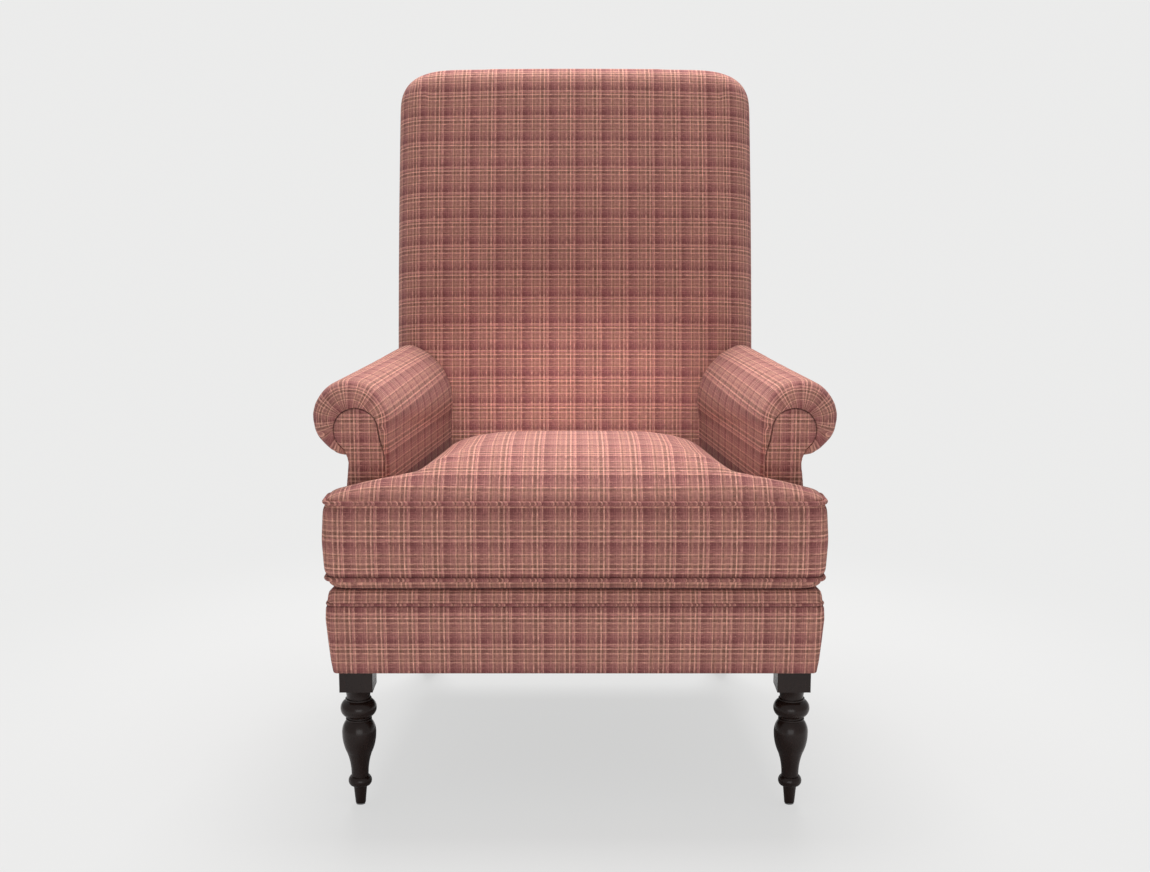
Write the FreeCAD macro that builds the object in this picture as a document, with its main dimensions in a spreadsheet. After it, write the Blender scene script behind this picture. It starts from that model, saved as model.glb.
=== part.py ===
import FreeCAD, Part
import math
import os
import Sketcher
from FreeCAD import Placement, Rotation, Vector

# Fireside chair: scroll arms, a loose T-shaped seat cushion, a leaning padded back, turned front legs
# +Z is up and the front faces -Y; X = 0 is the plane of symmetry and the floor is Z = 0
# Sizes are in millimetres and degrees; "depth" is measured backwards from the cushion's front edge

sizes = {
    # place of the cushion's front edge, ahead of the origin
    "front_to_origin": 402.0,
    "overall_height": 1079.0,
    # clearances: soft pieces to their neighbours, loose fits in bores
    "soft_gap": 0.3,
    "bore_gap": 0.15,
    # base: the upholstered box on the legs
    "base_bottom": 204.5,
    "base_height": 101.5,
    "base_setback": 5.0,
    "base_depth": 631.0,
    "base_half_front": 349.5,
    "base_half_rear": 298.0,
    "base_tuck": 8.0,
    "base_belly": 1.0,
    "cover_thick": 12.0,
    "base_corner": 14.0,
    "base_piping": 5.0,
    # padded front lip of the seat deck
    "lip_rise": 19.2,
    "lip_tuck": 9.0,
    # seat frame
    "rail_height": 94.5,
    "cross_rail_thick": 40.0,
    "side_rail_thick": 28.0,
    "corner_block_leg": 62.0,
    "corner_block_height": 50.0,
    "dowel_dia": 8.0,
    "dowel_length": 44.0,
    "dowel_edge": 14.0,
    "dowel_spacing": 17.0,
    "screw_dia": 4.0,
    "screw_length": 46.0,
    "screw_head_dia": 8.5,
    "screw_head_height": 3.2,
    "screw_seat": 22.0,
    "screw_offset": 20.0,
    "screw_low": 16.0,
    "screw_spacing": 18.0,
    # what fixes the legs
    "bolt_dia": 8.0,
    "bolt_length": 76.0,
    "bolt_in_leg": 40.0,
    "insert_dia": 12.0,
    "insert_length": 15.0,
    "glide_thick": 2.0,
    "glide_dia": 13.0,
    "glide_nail_dia": 2.5,
    "glide_nail_length": 14.0,
    # turned front leg, from its square block down; heights are above the floor
    "front_leg_side_inset": 39.9,
    "front_leg_front_inset": 40.4,
    "leg_block": 47.0,
    "leg_block_height": 30.5,
    "leg_shoulder_radius": 20.5,
    "leg_ring_radius": 18.6,
    "leg_ring_thick": 2.0,
    "leg_bead_radius": 25.8,
    "leg_bead_drop": 29.5,
    "leg_bead_half": 12.5,
    "leg_bead_edge": 17.6,
    "leg_waist_radius": 16.7,
    "leg_waist_length": 2.8,
    "leg_vase_radius": 24.3,
    "leg_vase_drop": 67.5,
    "leg_calf_radius": 17.6,
    "leg_calf_height": 77.5,
    "leg_ankle_radius": 12.3,
    "leg_ankle_height": 42.0,
    "leg_foot_ring_radius": 16.8,
    "leg_foot_ring_half": 6.4,
    "leg_foot_neck_radius": 9.6,
    "leg_foot_radius": 7.2,
    # square back leg, swept backwards and outwards
    "back_leg_side_inset": 40.0,
    "back_leg_top": 45.0,
    "back_leg_foot": 26.0,
    "back_leg_kick": 68.0,
    "back_leg_splay": 6.0,
    # springs of the seat
    "spring_wire": 3.6,
    "spring_width": 52.0,
    "spring_spacing": 88.0,
    "spring_count": 5,
    "spring_turns": 19,
    "spring_inset": 9.0,
    "clip_width": 18.0,
    "clip_sheet": 1.4,
    "clip_play": 0.2,
    "clip_tail": 14.0,
    "clip_nose": 3.0,
    "clip_lip": 2.5,
    "hessian_thick": 0.8,
    "dust_cover_thick": 1.5,
    "dust_cover_inset": 20.0,
    # arms: "front" is where the roll starts to run straight, "rear" is the rear of the base
    "arm_depth": 86.0,
    "arm_round": 22.0,
    "arm_set_in": 26.5,
    "roll_inset_front": 2.0,
    "roll_inset_rear": 31.0,
    "roll_radius_front": 55.0,
    "roll_radius_rear": 44.0,
    "arm_rise_front": 303.5,
    "arm_rise_rear": 307.0,
    "arm_width_front": 59.0,
    "arm_width_rear": 103.0,
    "arm_hip_drop_front": 14.0,
    "arm_hip_drop_rear": 89.0,
    "arm_frame_width": 38.0,
    # flat inset facing of each arm's front, and the stump board behind it
    "facing_thick": 11.0,
    "facing_flare": 3.0,
    "facing_arch_inset": 9.5,
    "facing_arch_drop": 15.7,
    "facing_radius": 31.0,
    "facing_edge": 7.0,
    "facing_hip_drop": 40.5,
    "facing_neck_inset": 1.0,
    "facing_neck_drop": 46.3,
    "facing_foot_inset": 12.3,
    "facing_seam": 1.0,
    "stump_thick": 25.0,
    "stump_radius": 26.0,
    "arm_rail_thick": 24.0,
    "arm_rail_height": 32.0,
    "tack_rail_height": 40.0,
    "tack_rail_lift": 36.0,
    # back, in its own leaning frame; it hinges on the rear edge of the base, below the piped seam
    "back_rake_angle": 12.5,
    "kick_drop": 6.0,
    "back_overhang": 7.5,
    "back_foot_thick": 124.6,
    "back_belly_thick": 160.9,
    "back_belly_height": 425.0,
    "back_head_thick": 145.4,
    "back_side_round": 58.0,
    "back_side_depth": 52.0,
    "back_crown": 6.0,
    "back_corner": 62.0,
    "back_top_round": 45.0,
    "back_top_wall": 30.0,
    "post_thick": 25.0,
    "post_depth": 43.2,
    "back_rail_height": 46.0,
    "back_low_rail": 60.0,
    "webbing_width": 50.0,
    "webbing_thick": 2.0,
    "webbing_across": 4,
    "webbing_upright": 3,
    "webbing_spacing": 130.0,
    # seat cushion
    "cushion_overhang": 0.8,
    "cushion_arm_gap": 10.5,
    "cushion_back_gap": 9.4,
    "ear_gap": 11.0,
    "ear_corner": 18.0,
    "ear_rear_corner": 12.0,
    "neck_corner": 10.0,
    "cushion_rear_corner": 30.0,
    "cushion_boxing": 108.0,
    "cushion_crown": 61.5,
    "cushion_crown_run": 120.0,
    "cushion_rear_run": 262.0,
    "ear_fall": 0.075,
    "cushion_belly": 17.0,
    "cushion_belly_run": 18.0,
    "cushion_bulge": 2.5,
    "cushion_piping": 6.0,
    "zip_half_length": 150.0,
    "zip_tape_height": 30.0,
    "zip_tape_thick": 1.0,
    "zip_coil_height": 6.0,
    "zip_coil_thick": 2.0,
    "zip_recess": 2.0,
    "slider_length": 14.0,
    "slider_wall": 1.2,
    "pull_length": 22.0,
    "pull_width": 6.0,
}

doc = FreeCAD.newDocument("FiresideChair")
sheet = doc.addObject("Spreadsheet::Sheet", "Sizes")
for row, (name, number) in enumerate(sizes.items(), start=1):
    sheet.set("A%d" % row, name)
    sheet.set("B%d" % row, str(number))
    sheet.setAlias("B%d" % row, name)
doc.recompute()


class Size:
    # a length or an angle: its number, and the sheet formula that gives it

    def __init__(self, number, formula):
        self.number = float(number)
        self.formula = formula

    def joined(self, other, sign, number):
        return Size(number, "(%s %s %s)" % (self.formula, sign, other.formula))

    def __float__(self):
        return self.number

    def __add__(self, other):
        other = as_size(other)
        return self.joined(other, "+", self.number + other.number)

    def __radd__(self, other):
        return as_size(other) + self

    def __sub__(self, other):
        other = as_size(other)
        return self.joined(other, "-", self.number - other.number)

    def __rsub__(self, other):
        return as_size(other) - self

    def __mul__(self, other):
        other = as_size(other)
        return self.joined(other, "*", self.number * other.number)

    def __rmul__(self, other):
        return as_size(other) * self

    def __truediv__(self, other):
        other = as_size(other)
        return self.joined(other, "/", self.number / other.number)

    def __rtruediv__(self, other):
        return as_size(other) / self

    def __neg__(self):
        return as_size(-1) * self


def as_size(number):
    return number if isinstance(number, Size) else Size(number, "(%r)" % float(number))


def size(name):
    return Size(sheet.get(name), "Sizes." + name)


def turn_of(function, angle):
    number = getattr(math, function)(math.radians(angle.number))
    return Size(number, "%s(%s)" % (function, angle.formula))


def line_at(depth, start, first, end, last):
    # value at a depth on the straight line from "first" at "start" to "last" at "end"
    return first + (last - first) * (depth - start) / (end - start)


# Frequently used sizes and the places that follow from them

gap = size("soft_gap")
bore_gap = size("bore_gap")
cover = size("cover_thick")
front_y = -size("front_to_origin")


def at_depth(depth):
    return front_y + depth


base_bottom = size("base_bottom")
base_seam = base_bottom + size("base_height")
base_start = size("base_setback")
base_end = base_start + size("base_depth")
rail_top = base_bottom + size("rail_height")
cross_thick = size("cross_rail_thick")
side_thick = size("side_rail_thick")
front_rail_start = base_start + cover + gap
front_rail_end = front_rail_start + cross_thick
back_rail_end = base_end - cover - gap
back_rail_start = back_rail_end - cross_thick
arm_start = size("arm_depth")
roll_start = arm_start + size("arm_round")
facing_end = arm_start + size("facing_thick")
stump_start = facing_end + gap
stump_end = stump_start + size("stump_thick")
panel_start = stump_start + gap
rake = size("back_rake_angle")
lean = turn_of("tan", rake)
kick = base_seam - size("kick_drop")
wire = size("spring_wire")
clip_sheet = size("clip_sheet")
wire_room = wire / 2 + size("clip_play")
wire_height = rail_top + clip_sheet + wire_room
hessian_bottom = rail_top + 2 * clip_sheet + 2 * wire_room + gap
deck_bottom = hessian_bottom + size("hessian_thick") + gap
piping_top = base_seam + size("base_piping") / 2
deck_top = base_seam + size("lip_rise")
cushion_seam = deck_top + gap + size("cushion_belly")
cushion_top_seam = cushion_seam + size("cushion_boxing")
cushion_depth = base_end - size("back_foot_thick") - size("cushion_back_gap")
back_half = size("base_half_rear") + size("back_overhang")


def side_low(depth):
    # outer face of the base's side
    return line_at(depth, base_start, size("base_half_front"), base_end, size("base_half_rear"))


def frame_outer(depth):
    return side_low(depth) - cover - gap


def along_arm(depth, front, rear):
    # a size of the arm, straight from the start of the roll to the rear of the base
    return line_at(depth, roll_start, front, base_end, rear)


def side_high(depth):
    # outer face of the outside arm under the roll
    return along_arm(depth, size("base_half_front") - size("arm_set_in"), size("base_half_rear"))


def arm_inner(depth):
    return side_high(depth) - along_arm(depth, size("arm_width_front"), size("arm_width_rear"))


def arm_cavity(depth):
    return side_high(depth) - size("arm_frame_width")


def roll_centre(depth):
    return side_high(depth) - along_arm(depth, size("roll_inset_front"), size("roll_inset_rear"))


def roll_radius(depth):
    return along_arm(depth, size("roll_radius_front"), size("roll_radius_rear"))


def roll_height(depth):
    rise = along_arm(depth, size("arm_rise_front"), size("arm_rise_rear"))
    return base_seam + rise - roll_radius(depth)


def arm_hip(depth):
    return roll_height(depth) - along_arm(depth, size("arm_hip_drop_front"), size("arm_hip_drop_rear"))


arm_top_reach = base_end + (base_seam + size("arm_rise_rear") - kick) * lean
post_outer = side_high(arm_top_reach) - cover - gap
post_inner = post_outer - size("post_thick")


# Helpers that make document objects

nodes = []


def node(label, item):
    item.Label = label
    nodes.append(item)
    return item


def bind(item, **amounts):
    for name, amount in amounts.items():
        item.setExpression(name, as_size(amount).formula)


def place(item, x, y, z):
    item.setExpression("Placement.Base.x", as_size(x).formula)
    item.setExpression("Placement.Base.y", as_size(y).formula)
    item.setExpression("Placement.Base.z", as_size(z).formula)


def tilt(item, x, y, z):
    # sets an item whose own place is (x, y, z) in the leaning frame of the back
    sine = turn_of("sin", rake)
    cosine = turn_of("cos", rake)
    item.Placement = Placement(Vector(), Rotation(Vector(1, 0, 0), -rake.number))
    item.setExpression("Placement.Rotation.Angle", (-rake).formula)
    place(item, x, at_depth(base_end) + y * cosine + z * sine, kick - y * sine + z * cosine)


def box(name, low, high, leaning=False):
    item = doc.addObject("Part::Box", name)
    bind(item, Length=high[0] - low[0], Width=high[1] - low[1], Height=high[2] - low[2])
    if leaning:
        tilt(item, *low)
    else:
        place(item, *low)
    return item


def rod(name, start, axis, radius, length):
    item = doc.addObject("Part::Cylinder", name)
    bind(item, Radius=radius, Height=length)
    item.Placement = Placement(Vector(), Rotation(Vector(0, 0, 1), Vector(*axis)))
    place(item, *start)
    return item


def group(name, items):
    item = doc.addObject("Part::Compound", name)
    item.Links = items
    return item


def fuse(name, items):
    item = doc.addObject("Part::MultiFuse", name)
    item.Shapes = items
    return item


def cut(name, base, tools):
    item = doc.addObject("Part::Cut", name)
    item.Base = base
    item.Tool = tools[0] if len(tools) == 1 else group(name + "Tools", tools)
    return item


def common(name, base, tool):
    item = doc.addObject("Part::Common", name)
    item.Base = base
    item.Tool = tool
    return item


def mirrored(name, source):
    item = doc.addObject("Part::Mirroring", name)
    item.Source = source
    item.Normal = Vector(1, 0, 0)
    return item


def pin_point(sketch, index, end, x, y):
    for kind, amount in (("DistanceX", x), ("DistanceY", y)):
        amount = as_size(amount)
        made = sketch.addConstraint(Sketcher.Constraint(kind, -1, 1, index, end, amount.number))
        sketch.setExpression("Constraints[%d]" % made, amount.formula)


def draw(sketch, outline):
    # draws a closed outline and pins its corners to their sizes; a corner is (x, y), or
    # (x, y, middle x, middle y) where an arc through the middle leads to it
    edges = []
    last = outline[-1]
    for corner in outline:
        start = Vector(float(last[0]), float(last[1]), 0)
        end = Vector(float(corner[0]), float(corner[1]), 0)
        if len(corner) == 2:
            index = sketch.addGeometry(Part.LineSegment(start, end), False)
        else:
            middle = Vector(float(corner[2]), float(corner[3]), 0)
            index = sketch.addGeometry(Part.Arc(start, middle, end), False)
            point = sketch.addGeometry(Part.Point(middle), True)
            pin_point(sketch, point, 1, corner[2], corner[3])
            sketch.addConstraint(Sketcher.Constraint("PointOnObject", point, 1, index))
        forwards = (sketch.getPoint(index, 1) - start).Length < (sketch.getPoint(index, 2) - start).Length
        first, second = (1, 2) if forwards else (2, 1)
        pin_point(sketch, index, second, corner[0], corner[1])
        edges.append((index, first, second))
        last = corner
    for (before, _, joined), (index, first, _) in zip(edges[-1:] + edges[:-1], edges):
        sketch.addConstraint(Sketcher.Constraint("Coincident", before, joined, index, first))


def sketch_on(body, name, plane, offset, outline):
    sketch = body.newObject("Sketcher::SketchObject", name)
    origin = [item for item in body.Origin.OriginFeatures if item.Role == plane]
    sketch.AttachmentSupport = [(origin[0], "")]
    sketch.MapMode = "FlatFace"
    sketch.setExpression("AttachmentOffset.Base.z", as_size(offset).formula)
    draw(sketch, outline)
    return sketch


def slab(name, plane, outline, start, end):
    # a padded outline between two places along the plane's axis, +X, +Y or +Z
    body = doc.addObject("PartDesign::Body", name)
    backwards = plane == "XZ_Plane"
    offset = -as_size(start) if backwards else start
    pad = body.newObject("PartDesign::Pad", name + "Pad")
    pad.Profile = sketch_on(body, name + "Sketch", plane, offset, outline)
    pad.Reversed = backwards
    bind(pad, Length=end - start)
    return body


# Helpers that make plain shapes

def spot(x, depth, z):
    return Vector(float(x), float(at_depth(depth)), float(z))


def feature(name, shape):
    item = doc.addObject("Part::Feature", name)
    item.Shape = shape
    return item


def edges_through(points, last):
    # straight edges to points, and arcs to (middle, end) pairs
    edges = []
    for point in points:
        if isinstance(point, tuple):
            edges.append(Part.Arc(last, point[0], point[1]).toShape())
            last = point[1]
        else:
            edges.append(Part.LineSegment(last, point).toShape())
            last = point
    return edges


def loop(points):
    last = points[-1][1] if isinstance(points[-1], tuple) else points[-1]
    return Part.Wire(edges_through(points, last))


def loft(wires):
    return Part.makeLoft(wires, True, True)


def sweep(path, normal, radius):
    radius = float(radius)
    start = path.Edges[0].valueAt(path.Edges[0].FirstParameter)
    profile = Part.Wire([Part.makeCircle(radius, start, normal)])
    tube = path.makePipeShell([profile], True, False)
    print("swept volume over section times length:", tube.Volume / (path.Length * math.pi * radius ** 2))
    return tube


def prism(outline, start, end):
    # an outline of (x, z) corners, as the sketches take it, between two depths
    points = []
    for corner in outline:
        point = spot(corner[0], start, corner[1])
        points.append(point if len(corner) == 2 else (spot(corner[2], start, corner[3]), point))
    return Part.Face(loop(points)).extrude(Vector(0, float(end) - float(start), 0))


def round_corners(corners, z):
    # a closed plan of (x, depth, radius) corners, each rounded by an arc
    places = [spot(x, depth, z) for x, depth, _ in corners]
    points = []
    for index, (_, _, radius) in enumerate(corners):
        corner = places[index]
        before = (places[index - 1] - corner).normalize()
        after = (places[(index + 1) % len(places)] - corner).normalize()
        half_turn = (math.pi - before.getAngle(after)) / 2
        inwards = (before + after).normalize()
        reach = radius * math.tan(half_turn)
        middle = corner + inwards * (radius / math.cos(half_turn) - radius)
        points.append(corner + before * reach)
        points.append((middle, corner + after * reach))
    return points


# Leaning frame of the back, and solids that bound the pieces in it

hinge_line = Vector(0, float(at_depth(base_end)), float(kick))
leaning = Placement(hinge_line, Rotation(Vector(1, 0, 0), -rake.number))
far_out = 500.0


def behind(inset):
    # everything behind the rear face of the chair, set in by an amount
    inset = float(inset)
    angle = math.radians(rake.number)
    low = Vector(-far_out, float(at_depth(base_end)) - inset, -far_out)
    bend = Vector(-far_out, low.y, float(kick) + inset * math.tan(angle / 2))
    top = bend + Vector(0, math.sin(angle), math.cos(angle)) * 2 * far_out
    rear = Vector(-far_out, top.y + far_out, top.z)
    foot = Vector(-far_out, rear.y, low.z)
    return Part.Face(loop([low, bend, top, rear, foot])).extrude(Vector(2 * far_out, 0, 0))


head_thick = size("back_head_thick")
top_round = size("back_top_round")
head_lean = (head_thick - top_round) * turn_of("sin", rake)
back_top = (size("overall_height") - kick - head_lean - top_round) / turn_of("cos", rake) + top_round


def back_thick(height):
    # thickness of the back, a smooth belly through its foot, middle and head
    middle = float(size("back_belly_height"))
    head = float(back_top - top_round)
    low, belly, high = (float(size("back_%s_thick" % name)) for name in ("foot", "belly", "head"))
    low = low * (height - middle) * (height - head) / (middle * head)
    belly = belly * height * (height - head) / (middle * (middle - head))
    high = high * height * (height - middle) / (head * (head - middle))
    return low + belly + high


def rounded_off(radius, below_top):
    # how far a quarter round draws in at a distance below the top
    across = max(radius - below_top, 0.0)
    return radius - math.sqrt(radius * radius - across * across)


def back_block(grow):
    # the whole padded back, down to the cover of its rear face
    half = float(back_half)
    top = float(back_top)
    corner, roundness = float(size("back_corner")), float(top_round)
    wide, deep = float(size("back_side_round")), float(size("back_side_depth"))
    crown = float(size("back_crown"))
    rear = -float(cover + gap)
    bend = 1 - math.sqrt(0.5)
    heights = [share * (top - corner) for share in (-0.06, 0, 0.15, 0.3, 0.45, 0.6, 0.75, 0.9, 1)]
    heights += [top - corner * (1 - math.sin(math.radians(turn))) for turn in (15, 30, 42, 54, 66, 78, 90)]
    wires = []
    for height in heights:
        x = half - rounded_off(corner, top - height) + grow
        y = -back_thick(min(height, top - roundness)) + rounded_off(roundness, top - height) - grow
        z = height if height < top else height + grow
        side_y = y + crown + deep
        middle_y = y + crown + deep * bend
        points = [
            Vector(-x, rear, z),
            Vector(x, rear, z),
            Vector(x, side_y, z),
            (Vector(x - wide * bend, middle_y, z), Vector(x - wide, y + crown, z)),
            (Vector(0, y, z), Vector(wide - x, y + crown, z)),
            (Vector(wide * bend - x, middle_y, z), Vector(-x, side_y, z)),
        ]
        wires.append(loop(points))
    block = loft(wires)
    block.Placement = leaning
    return block


# Seat frame: rails, corner blocks, dowels, screws and leg fixings

mid_rail = (front_rail_start + front_rail_end) / 2
front_cuts = []
back_cuts = []
side_cuts = []
dowels = []
screws = []
blocks = []
bolts = []
inserts = []
dowel_dia = size("dowel_dia")
dowel_half = size("dowel_length") / 2
bore_end = bore_gap * 2
axes = {"+X": (1, 0, 0), "-X": (-1, 0, 0), "+Y": (0, 1, 0), "-Y": (0, -1, 0), "+Z": (0, 0, 1)}


def dowel(name, x, depth, z, axis, cuts):
    # a dowel centred on a joint, and its bore, which is cut from both sides
    half = {"+Y": (0, dowel_half, 0), "+Z": (0, 0, dowel_half)}[axis]
    slack = {"+Y": (0, bore_gap, 0), "+Z": (0, 0, bore_gap)}[axis]
    start = [middle - reach for middle, reach in zip((x, at_depth(depth), z), half)]
    bore_start = [first - reach for first, reach in zip(start, slack)]
    dowels.append(rod(name, start, axes[axis], dowel_dia / 2, dowel_half * 2))
    bore_length = dowel_half * 2 + bore_end
    bore = rod(name + "Bore", bore_start, axes[axis], dowel_dia / 2 + bore_gap, bore_length)
    for pieces in cuts:
        pieces.append(bore)


def screw(name, start, axis, against, cuts):
    # a countersunk block screw, driven along the axis from its seat
    shank = rod(name + "Shank", start, axes[axis], size("screw_dia") / 2, size("screw_length"))
    head = rod(name + "Head", start, axes[against], size("screw_head_dia") / 2, size("screw_head_height"))
    screws.append(fuse(name, [shank, head]))
    bore_length = size("screw_length") + bore_gap
    bore = rod(name + "Bore", start, axes[axis], size("screw_dia") / 2 + bore_gap, bore_length)
    well_radius = size("screw_head_dia") / 2 + bore_gap
    well = rod(name + "Well", start, axes[against], well_radius, size("corner_block_leg"))
    cuts.append(bore)
    return [bore, well]


def side_inner(depth):
    return frame_outer(depth) - side_thick


def corner(name, face, step, inwards, outwards, cross_cuts):
    # block, screws and rail dowels where a cross rail's inner face meets the side rail
    leg = size("corner_block_leg")
    far = face + leg * step
    offset, seat = size("screw_offset"), size("screw_seat")
    outline = [
        (side_inner(face), at_depth(face)),
        (side_inner(face) - leg, at_depth(face)),
        (side_inner(far), at_depth(far)),
    ]
    block_top = base_bottom + size("corner_block_height")
    blank = slab(name + "Blank", "XY_Plane", outline, base_bottom, block_top)
    low = base_bottom + size("screw_low")
    high = low + size("screw_spacing")
    to_cross = (side_inner(face) - offset, at_depth(face + seat * step), low)
    beside = face + offset * step
    to_side = (side_inner(beside) - seat, at_depth(beside), high)
    bores = screw(name + "CrossScrew", to_cross, outwards, inwards, cross_cuts)
    bores += screw(name + "SideScrew", to_side, "+X", "-X", side_cuts)
    blocks.append(cut(name + "Block", blank, bores))
    for count in range(2):
        height = rail_top - size("dowel_edge") - size("dowel_spacing") * count
        middle = side_inner(face) + side_thick / 2
        dowel("%sDowel%d" % (name, count), middle, face, height, "+Y", (cross_cuts, side_cuts))


def leg_fixing(name, x, depth, cross_cuts):
    # hanger bolt in its threaded insert, and the bores that hold them
    start = base_bottom - size("bolt_in_leg")
    top = start + size("bolt_length")
    insert_top = base_bottom + size("insert_length")
    radius = size("bolt_dia") / 2
    outer = size("insert_dia") / 2
    y = at_depth(depth)
    bolts.append(rod(name + "Bolt", (x, y, start), axes["+Z"], radius, size("bolt_length")))
    body = rod(name + "InsertBody", (x, y, base_bottom), axes["+Z"], outer, size("insert_length"))
    thread = rod(name + "Thread", (x, y, base_bottom), axes["+Z"], radius + bore_gap, size("insert_length"))
    inserts.append(cut(name + "Insert", body, [thread]))
    low_length = size("insert_length") + bore_gap
    high_start = (x, y, insert_top + bore_gap)
    high_length = top - insert_top
    leg_start = (x, y, start - bore_gap)
    leg_length = base_bottom - start + bore_gap
    cross_cuts.append(rod(name + "LowBore", (x, y, base_bottom), axes["+Z"], outer + bore_gap, low_length))
    cross_cuts.append(rod(name + "HighBore", high_start, axes["+Z"], radius + bore_gap, high_length))
    return rod(name + "LegBore", leg_start, axes["+Z"], radius + bore_gap, leg_length)


corner("Front", front_rail_end, 1, "+Y", "-Y", front_cuts)
corner("Back", back_rail_start, -1, "-Y", "+Y", back_cuts)
front_leg_x = size("base_half_front") - size("front_leg_side_inset")
front_leg_depth = base_start + size("front_leg_front_inset")
back_leg_x = size("base_half_rear") - size("back_leg_side_inset")
back_leg_depth = (back_rail_start + back_rail_end) / 2
front_leg_bore = leg_fixing("FrontLeg", front_leg_x, front_leg_depth, front_cuts)
back_leg_bore = leg_fixing("BackLeg", back_leg_x, back_leg_depth, back_cuts)

stump_cuts = []
post_cuts = []
stump_middle = (stump_start + stump_end) / 2
stump_dowel_x = (side_inner(stump_start) + frame_outer(stump_end)) / 2
dowel("StumpDowel", stump_dowel_x, stump_middle, rail_top, "+Z", (side_cuts, stump_cuts))
post_dowel_x = post_inner + dowel_dia * 0.7
dowel("PostDowel", post_dowel_x, back_leg_depth, rail_top, "+Z", (back_cuts, post_cuts))


def both_sides(name, items):
    right = group(name + "Right", items)
    return [right, mirrored(name + "Left", right)]


def cross_rail(name, start, end, cuts):
    half = frame_outer(end)
    blank = box(name + "Blank", (-half, at_depth(start), base_bottom), (half, at_depth(end), rail_top))
    return cut(name, blank, both_sides(name + "Bores", cuts))


node("front_rail", cross_rail("FrontRail", front_rail_start, front_rail_end, front_cuts))
node("back_rail", cross_rail("BackRail", back_rail_start, back_rail_end, back_cuts))
side_plan = [
    (side_inner(front_rail_end), at_depth(front_rail_end)),
    (frame_outer(front_rail_end), at_depth(front_rail_end)),
    (frame_outer(back_rail_start), at_depth(back_rail_start)),
    (side_inner(back_rail_start), at_depth(back_rail_start)),
]
side_blank = slab("SideRailBlank", "XY_Plane", side_plan, base_bottom, rail_top)
side_rail = node("side_rail_right", cut("SideRailRight", side_blank, side_cuts))
node("side_rail_left", mirrored("SideRailLeft", side_rail))
node("corner_blocks", group("CornerBlocks", both_sides("Blocks", blocks)))
node("corner_block_screws", group("CornerBlockScrews", both_sides("Screws", screws)))
node("frame_dowels", group("FrameDowels", both_sides("Dowels", dowels)))
node("leg_bolts", group("LegBolts", both_sides("Bolts", bolts)))
node("leg_inserts", group("LegInserts", both_sides("Inserts", inserts)))

# Legs and glides

glides = []
foot_bottom = size("glide_thick")


def glide(name, x, depth):
    nail_radius, nail_length = size("glide_nail_dia") / 2, size("glide_nail_length")
    y = at_depth(depth)
    foot = (x, y, foot_bottom)
    disc = rod(name + "Disc", (x, y, 0), axes["+Z"], size("glide_dia") / 2, foot_bottom)
    nail = rod(name + "Nail", foot, axes["+Z"], nail_radius, nail_length)
    glides.append(fuse(name, [disc, nail]))
    return rod(name + "Bore", foot, axes["+Z"], nail_radius + bore_gap, nail_length + bore_gap)


def between(first, last, share):
    return first + (last - first) * share


block_bottom = base_bottom - size("leg_block_height")
shoulder, ring = size("leg_shoulder_radius"), size("leg_ring_radius")
bead_edge, bead_half = size("leg_bead_edge"), size("leg_bead_half")
bead_height = block_bottom - size("leg_bead_drop")
bead_top = bead_height + bead_half
bead_bottom = bead_height - bead_half
ring_thick = size("leg_ring_thick")
waist, waist_bottom = size("leg_waist_radius"), bead_bottom - size("leg_waist_length")
vase_top = waist_bottom - ring_thick
vase, vase_height = size("leg_vase_radius"), block_bottom - size("leg_vase_drop")
calf, calf_height = size("leg_calf_radius"), size("leg_calf_height")
ankle, ankle_height = size("leg_ankle_radius"), size("leg_ankle_height")
foot_half = size("leg_foot_ring_half")
foot_ring_height = ankle_height - foot_half
foot_ring_edge = between(ankle, size("leg_foot_ring_radius"), 0.4)
foot_neck_height = foot_ring_height - foot_half - ring_thick
turned = [
    (0, block_bottom),
    (shoulder, block_bottom),
    (waist, bead_top + ring_thick, between(shoulder, waist, 0.75), between(block_bottom, bead_top, 0.4)),
    (ring, bead_top + ring_thick),
    (ring, bead_top),
    (bead_edge, bead_top),
    (bead_edge, bead_bottom, size("leg_bead_radius"), bead_height),
    (waist, bead_bottom),
    (waist, waist_bottom),
    (ring, waist_bottom),
    (ring, vase_top),
    (bead_edge, vase_top),
    (vase, vase_height, between(bead_edge, vase, 0.81), between(vase_height, vase_top, 0.53)),
    (calf, calf_height, between(calf, vase, 0.75), between(calf_height, vase_height, 0.5)),
    (ankle, ankle_height, between(ankle, calf, 0.25), between(ankle_height, calf_height, 0.57)),
    (foot_ring_edge, ankle_height),
    (foot_ring_edge, foot_ring_height - foot_half, size("leg_foot_ring_radius"), foot_ring_height),
    (size("leg_foot_neck_radius"), foot_neck_height),
    (size("leg_foot_radius"), foot_bottom),
    (0, foot_bottom),
]
turned_body = doc.addObject("PartDesign::Body", "FrontLegTurned")
turning = turned_body.newObject("PartDesign::Revolution", "FrontLegTurning")
turning.Profile = sketch_on(turned_body, "FrontLegProfile", "XZ_Plane", 0, turned)
turning.ReferenceAxis = (turning.Profile[0], ["V_Axis"])
turning.Angle = 360.0
front_leg_y = at_depth(front_leg_depth)
place(turned_body, front_leg_x, front_leg_y, 0)
block_half = size("leg_block") / 2
block_low = (front_leg_x - block_half, front_leg_y - block_half, block_bottom)
block_high = (front_leg_x + block_half, front_leg_y + block_half, base_bottom)
leg_blank = fuse("FrontLegBlank", [box("FrontLegBlock", block_low, block_high), turned_body])
glide_bore = glide("FrontGlide", front_leg_x, front_leg_depth)
front_leg = node("front_leg_right", cut("FrontLegRight", leg_blank, [front_leg_bore, glide_bore]))
node("front_leg_left", mirrored("FrontLegLeft", front_leg))


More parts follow.
